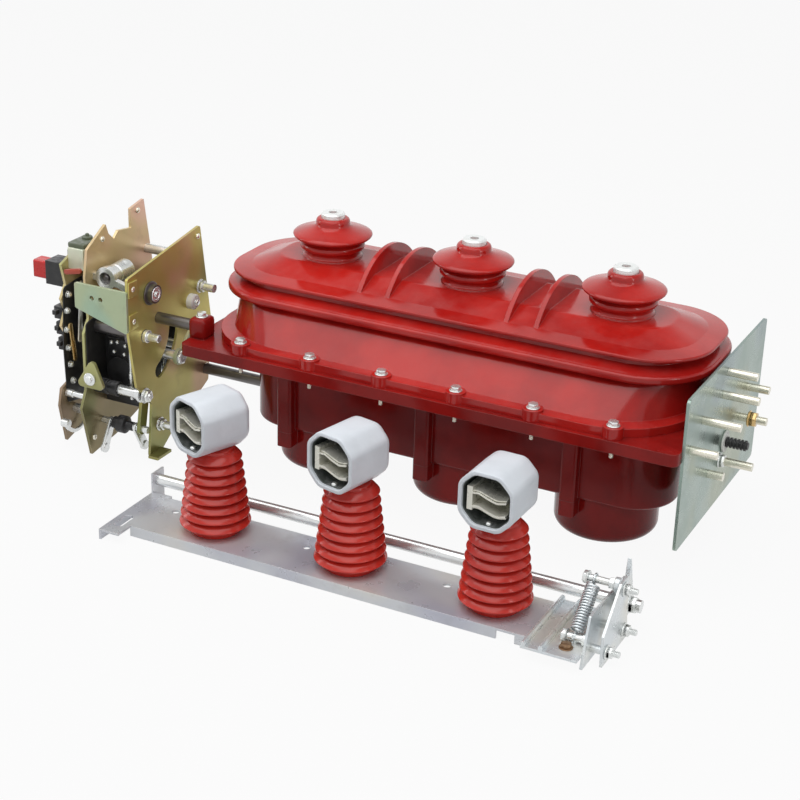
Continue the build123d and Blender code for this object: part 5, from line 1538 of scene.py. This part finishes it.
@dataclass(frozen=True)
class Studio:
    """Pale floor, a sky that is white at the sides, a soft box overhead, strips at both sides, and the camera."""

    azimuth: float = 26.14
    elevation: float = 23.54
    roll: float = 1.76
    position: Point = (890.86, -2020.79, 1088.75)
    focal_pixels: float = 1775.31
    frame_pixels: float = 800.0
    sensor: float = 36.0
    floor_size: float = 24.0
    floor_colour: float = 0.52
    floor_glow: float = 0.93
    sky_light: float = 0.24
    sky_top: float = 0.35
    sky_fade: Tuple[float, float] = (0.45, 0.85)
    sky_tint: Colour = (0.99, 0.995, 1.0)
    lamps: Tuple[Lamp, ...] = (Lamp("overhead", (-0.2, -0.7, 2.3), (3.4, 2.6), 58.0),
                               Lamp("right_strip", (1.9, -0.7, 0.9), (0.3, 1.4), 5.0),
                               Lamp("left_strip", (-1.9, -0.4, 0.9), (0.3, 1.4), 4.0))

    def camera(self) -> None:
        """Adds the camera at the picture's angle."""
        turn, rise, roll = (radians(angle) for angle in (self.azimuth, self.elevation, self.roll))
        back = Vector((sin(turn) * cos(rise), -cos(turn) * cos(rise), sin(rise)))
        right = Vector((cos(turn), sin(turn), 0))
        up = back.cross(right)
        level_right = cos(roll) * right + sin(roll) * up
        level_up = -sin(roll) * right + cos(roll) * up
        data = bpy.data.cameras.new("camera")
        data.sensor_width = self.sensor
        data.lens = self.focal_pixels * self.sensor / self.frame_pixels
        camera = bpy.data.objects.new("camera", data)
        camera.matrix_world = (Bench.at(self.position)
                               @ Matrix((level_right, level_up, back)).transposed().to_4x4())
        bpy.context.collection.objects.link(camera)
        bpy.context.scene.camera = camera

    @staticmethod
    def seen(tree: bpy.types.NodeTree) -> bpy.types.NodeSocket:
        """Gives 1 to rays that see a surface, straight or in a reflection, and 0 to those that light another."""
        rays = tree.nodes.new("ShaderNodeLightPath").outputs
        seen = rays["Is Camera Ray"]
        for other in ("Is Glossy Ray", "Is Transmission Ray"):
            either = tree.nodes.new("ShaderNodeMath")
            either.operation = "MAXIMUM"
            tree.links.new(seen, either.inputs[0])
            tree.links.new(rays[other], either.inputs[1])
            seen = either.outputs["Value"]
        return seen

    def sky(self) -> None:
        """Makes the world look white at the sides and grey overhead, and light the switch evenly."""
        world = bpy.data.worlds.new("studio_sky")
        bpy.context.scene.world = world
        world.use_nodes = True
        nodes, links = world.node_tree.nodes, world.node_tree.links
        split = nodes.new("ShaderNodeSeparateXYZ")
        links.new(nodes.new("ShaderNodeTexCoord").outputs["Generated"], split.inputs["Vector"])
        fade = nodes.new("ShaderNodeMapRange")
        links.new(split.outputs["Z"], fade.inputs["Value"])
        for name, number in (("From Min", self.sky_fade[0]), ("From Max", self.sky_fade[1]), ("To Min", 1.0),
                             ("To Max", self.sky_top)):
            fade.inputs[name].default_value = number
        level = nodes.new("ShaderNodeMix")
        level.inputs["A"].default_value = self.sky_light
        links.new(self.seen(world.node_tree), level.inputs["Factor"])
        links.new(fade.outputs["Result"], level.inputs["B"])
        background = nodes["Background"]
        background.inputs["Color"].default_value = (*self.sky_tint, 1.0)
        links.new(level.outputs["Result"], background.inputs["Strength"])

    def floor(self) -> None:
        """Adds the matt floor, which keeps the shadow and looks whiter than it lights."""
        Bench.clear()
        bpy.ops.mesh.primitive_plane_add(size=self.floor_size)
        plane = bpy.context.object
        plane.name = "studio_floor"
        material = bpy.data.materials.new("studio_floor")
        material.use_nodes = True
        nodes, links = material.node_tree.nodes, material.node_tree.links
        nodes.clear()
        output, blend = nodes.new("ShaderNodeOutputMaterial"), nodes.new("ShaderNodeMixShader")
        matt, glow = nodes.new("ShaderNodeBsdfDiffuse"), nodes.new("ShaderNodeEmission")
        matt.inputs["Color"].default_value = (self.floor_colour,) * 3 + (1.0,)
        share = nodes.new("ShaderNodeMath")
        share.operation = "MULTIPLY"
        share.inputs[1].default_value = self.floor_glow
        links.new(self.seen(material.node_tree), share.inputs[0])
        links.new(share.outputs["Value"], blend.inputs["Fac"])
        links.new(matt.outputs["BSDF"], blend.inputs[1])
        links.new(glow.outputs["Emission"], blend.inputs[2])
        links.new(blend.outputs["Shader"], output.inputs["Surface"])
        plane.data.materials.append(material)

    def build(self) -> None:
        """Sets up the camera, the floor, the sky and the lamps."""
        bpy.context.scene.view_settings.view_transform = "Standard"
        self.camera()
        self.floor()
        self.sky()
        for lamp in self.lamps:
            lamp.hang()


def main() -> None:
    """Builds the switch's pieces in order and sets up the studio."""
    logging.basicConfig(level=logging.INFO, format="%(name)s: %(message)s")
    palette = Palette().fill()
    for assembly in (Tank, EndPlate, Mechanism, ContactBase):
        assembly(palette).build()
        LOG.info("%s done", assembly.__name__)
    Studio().build()


if __name__ == "__main__":
    main()
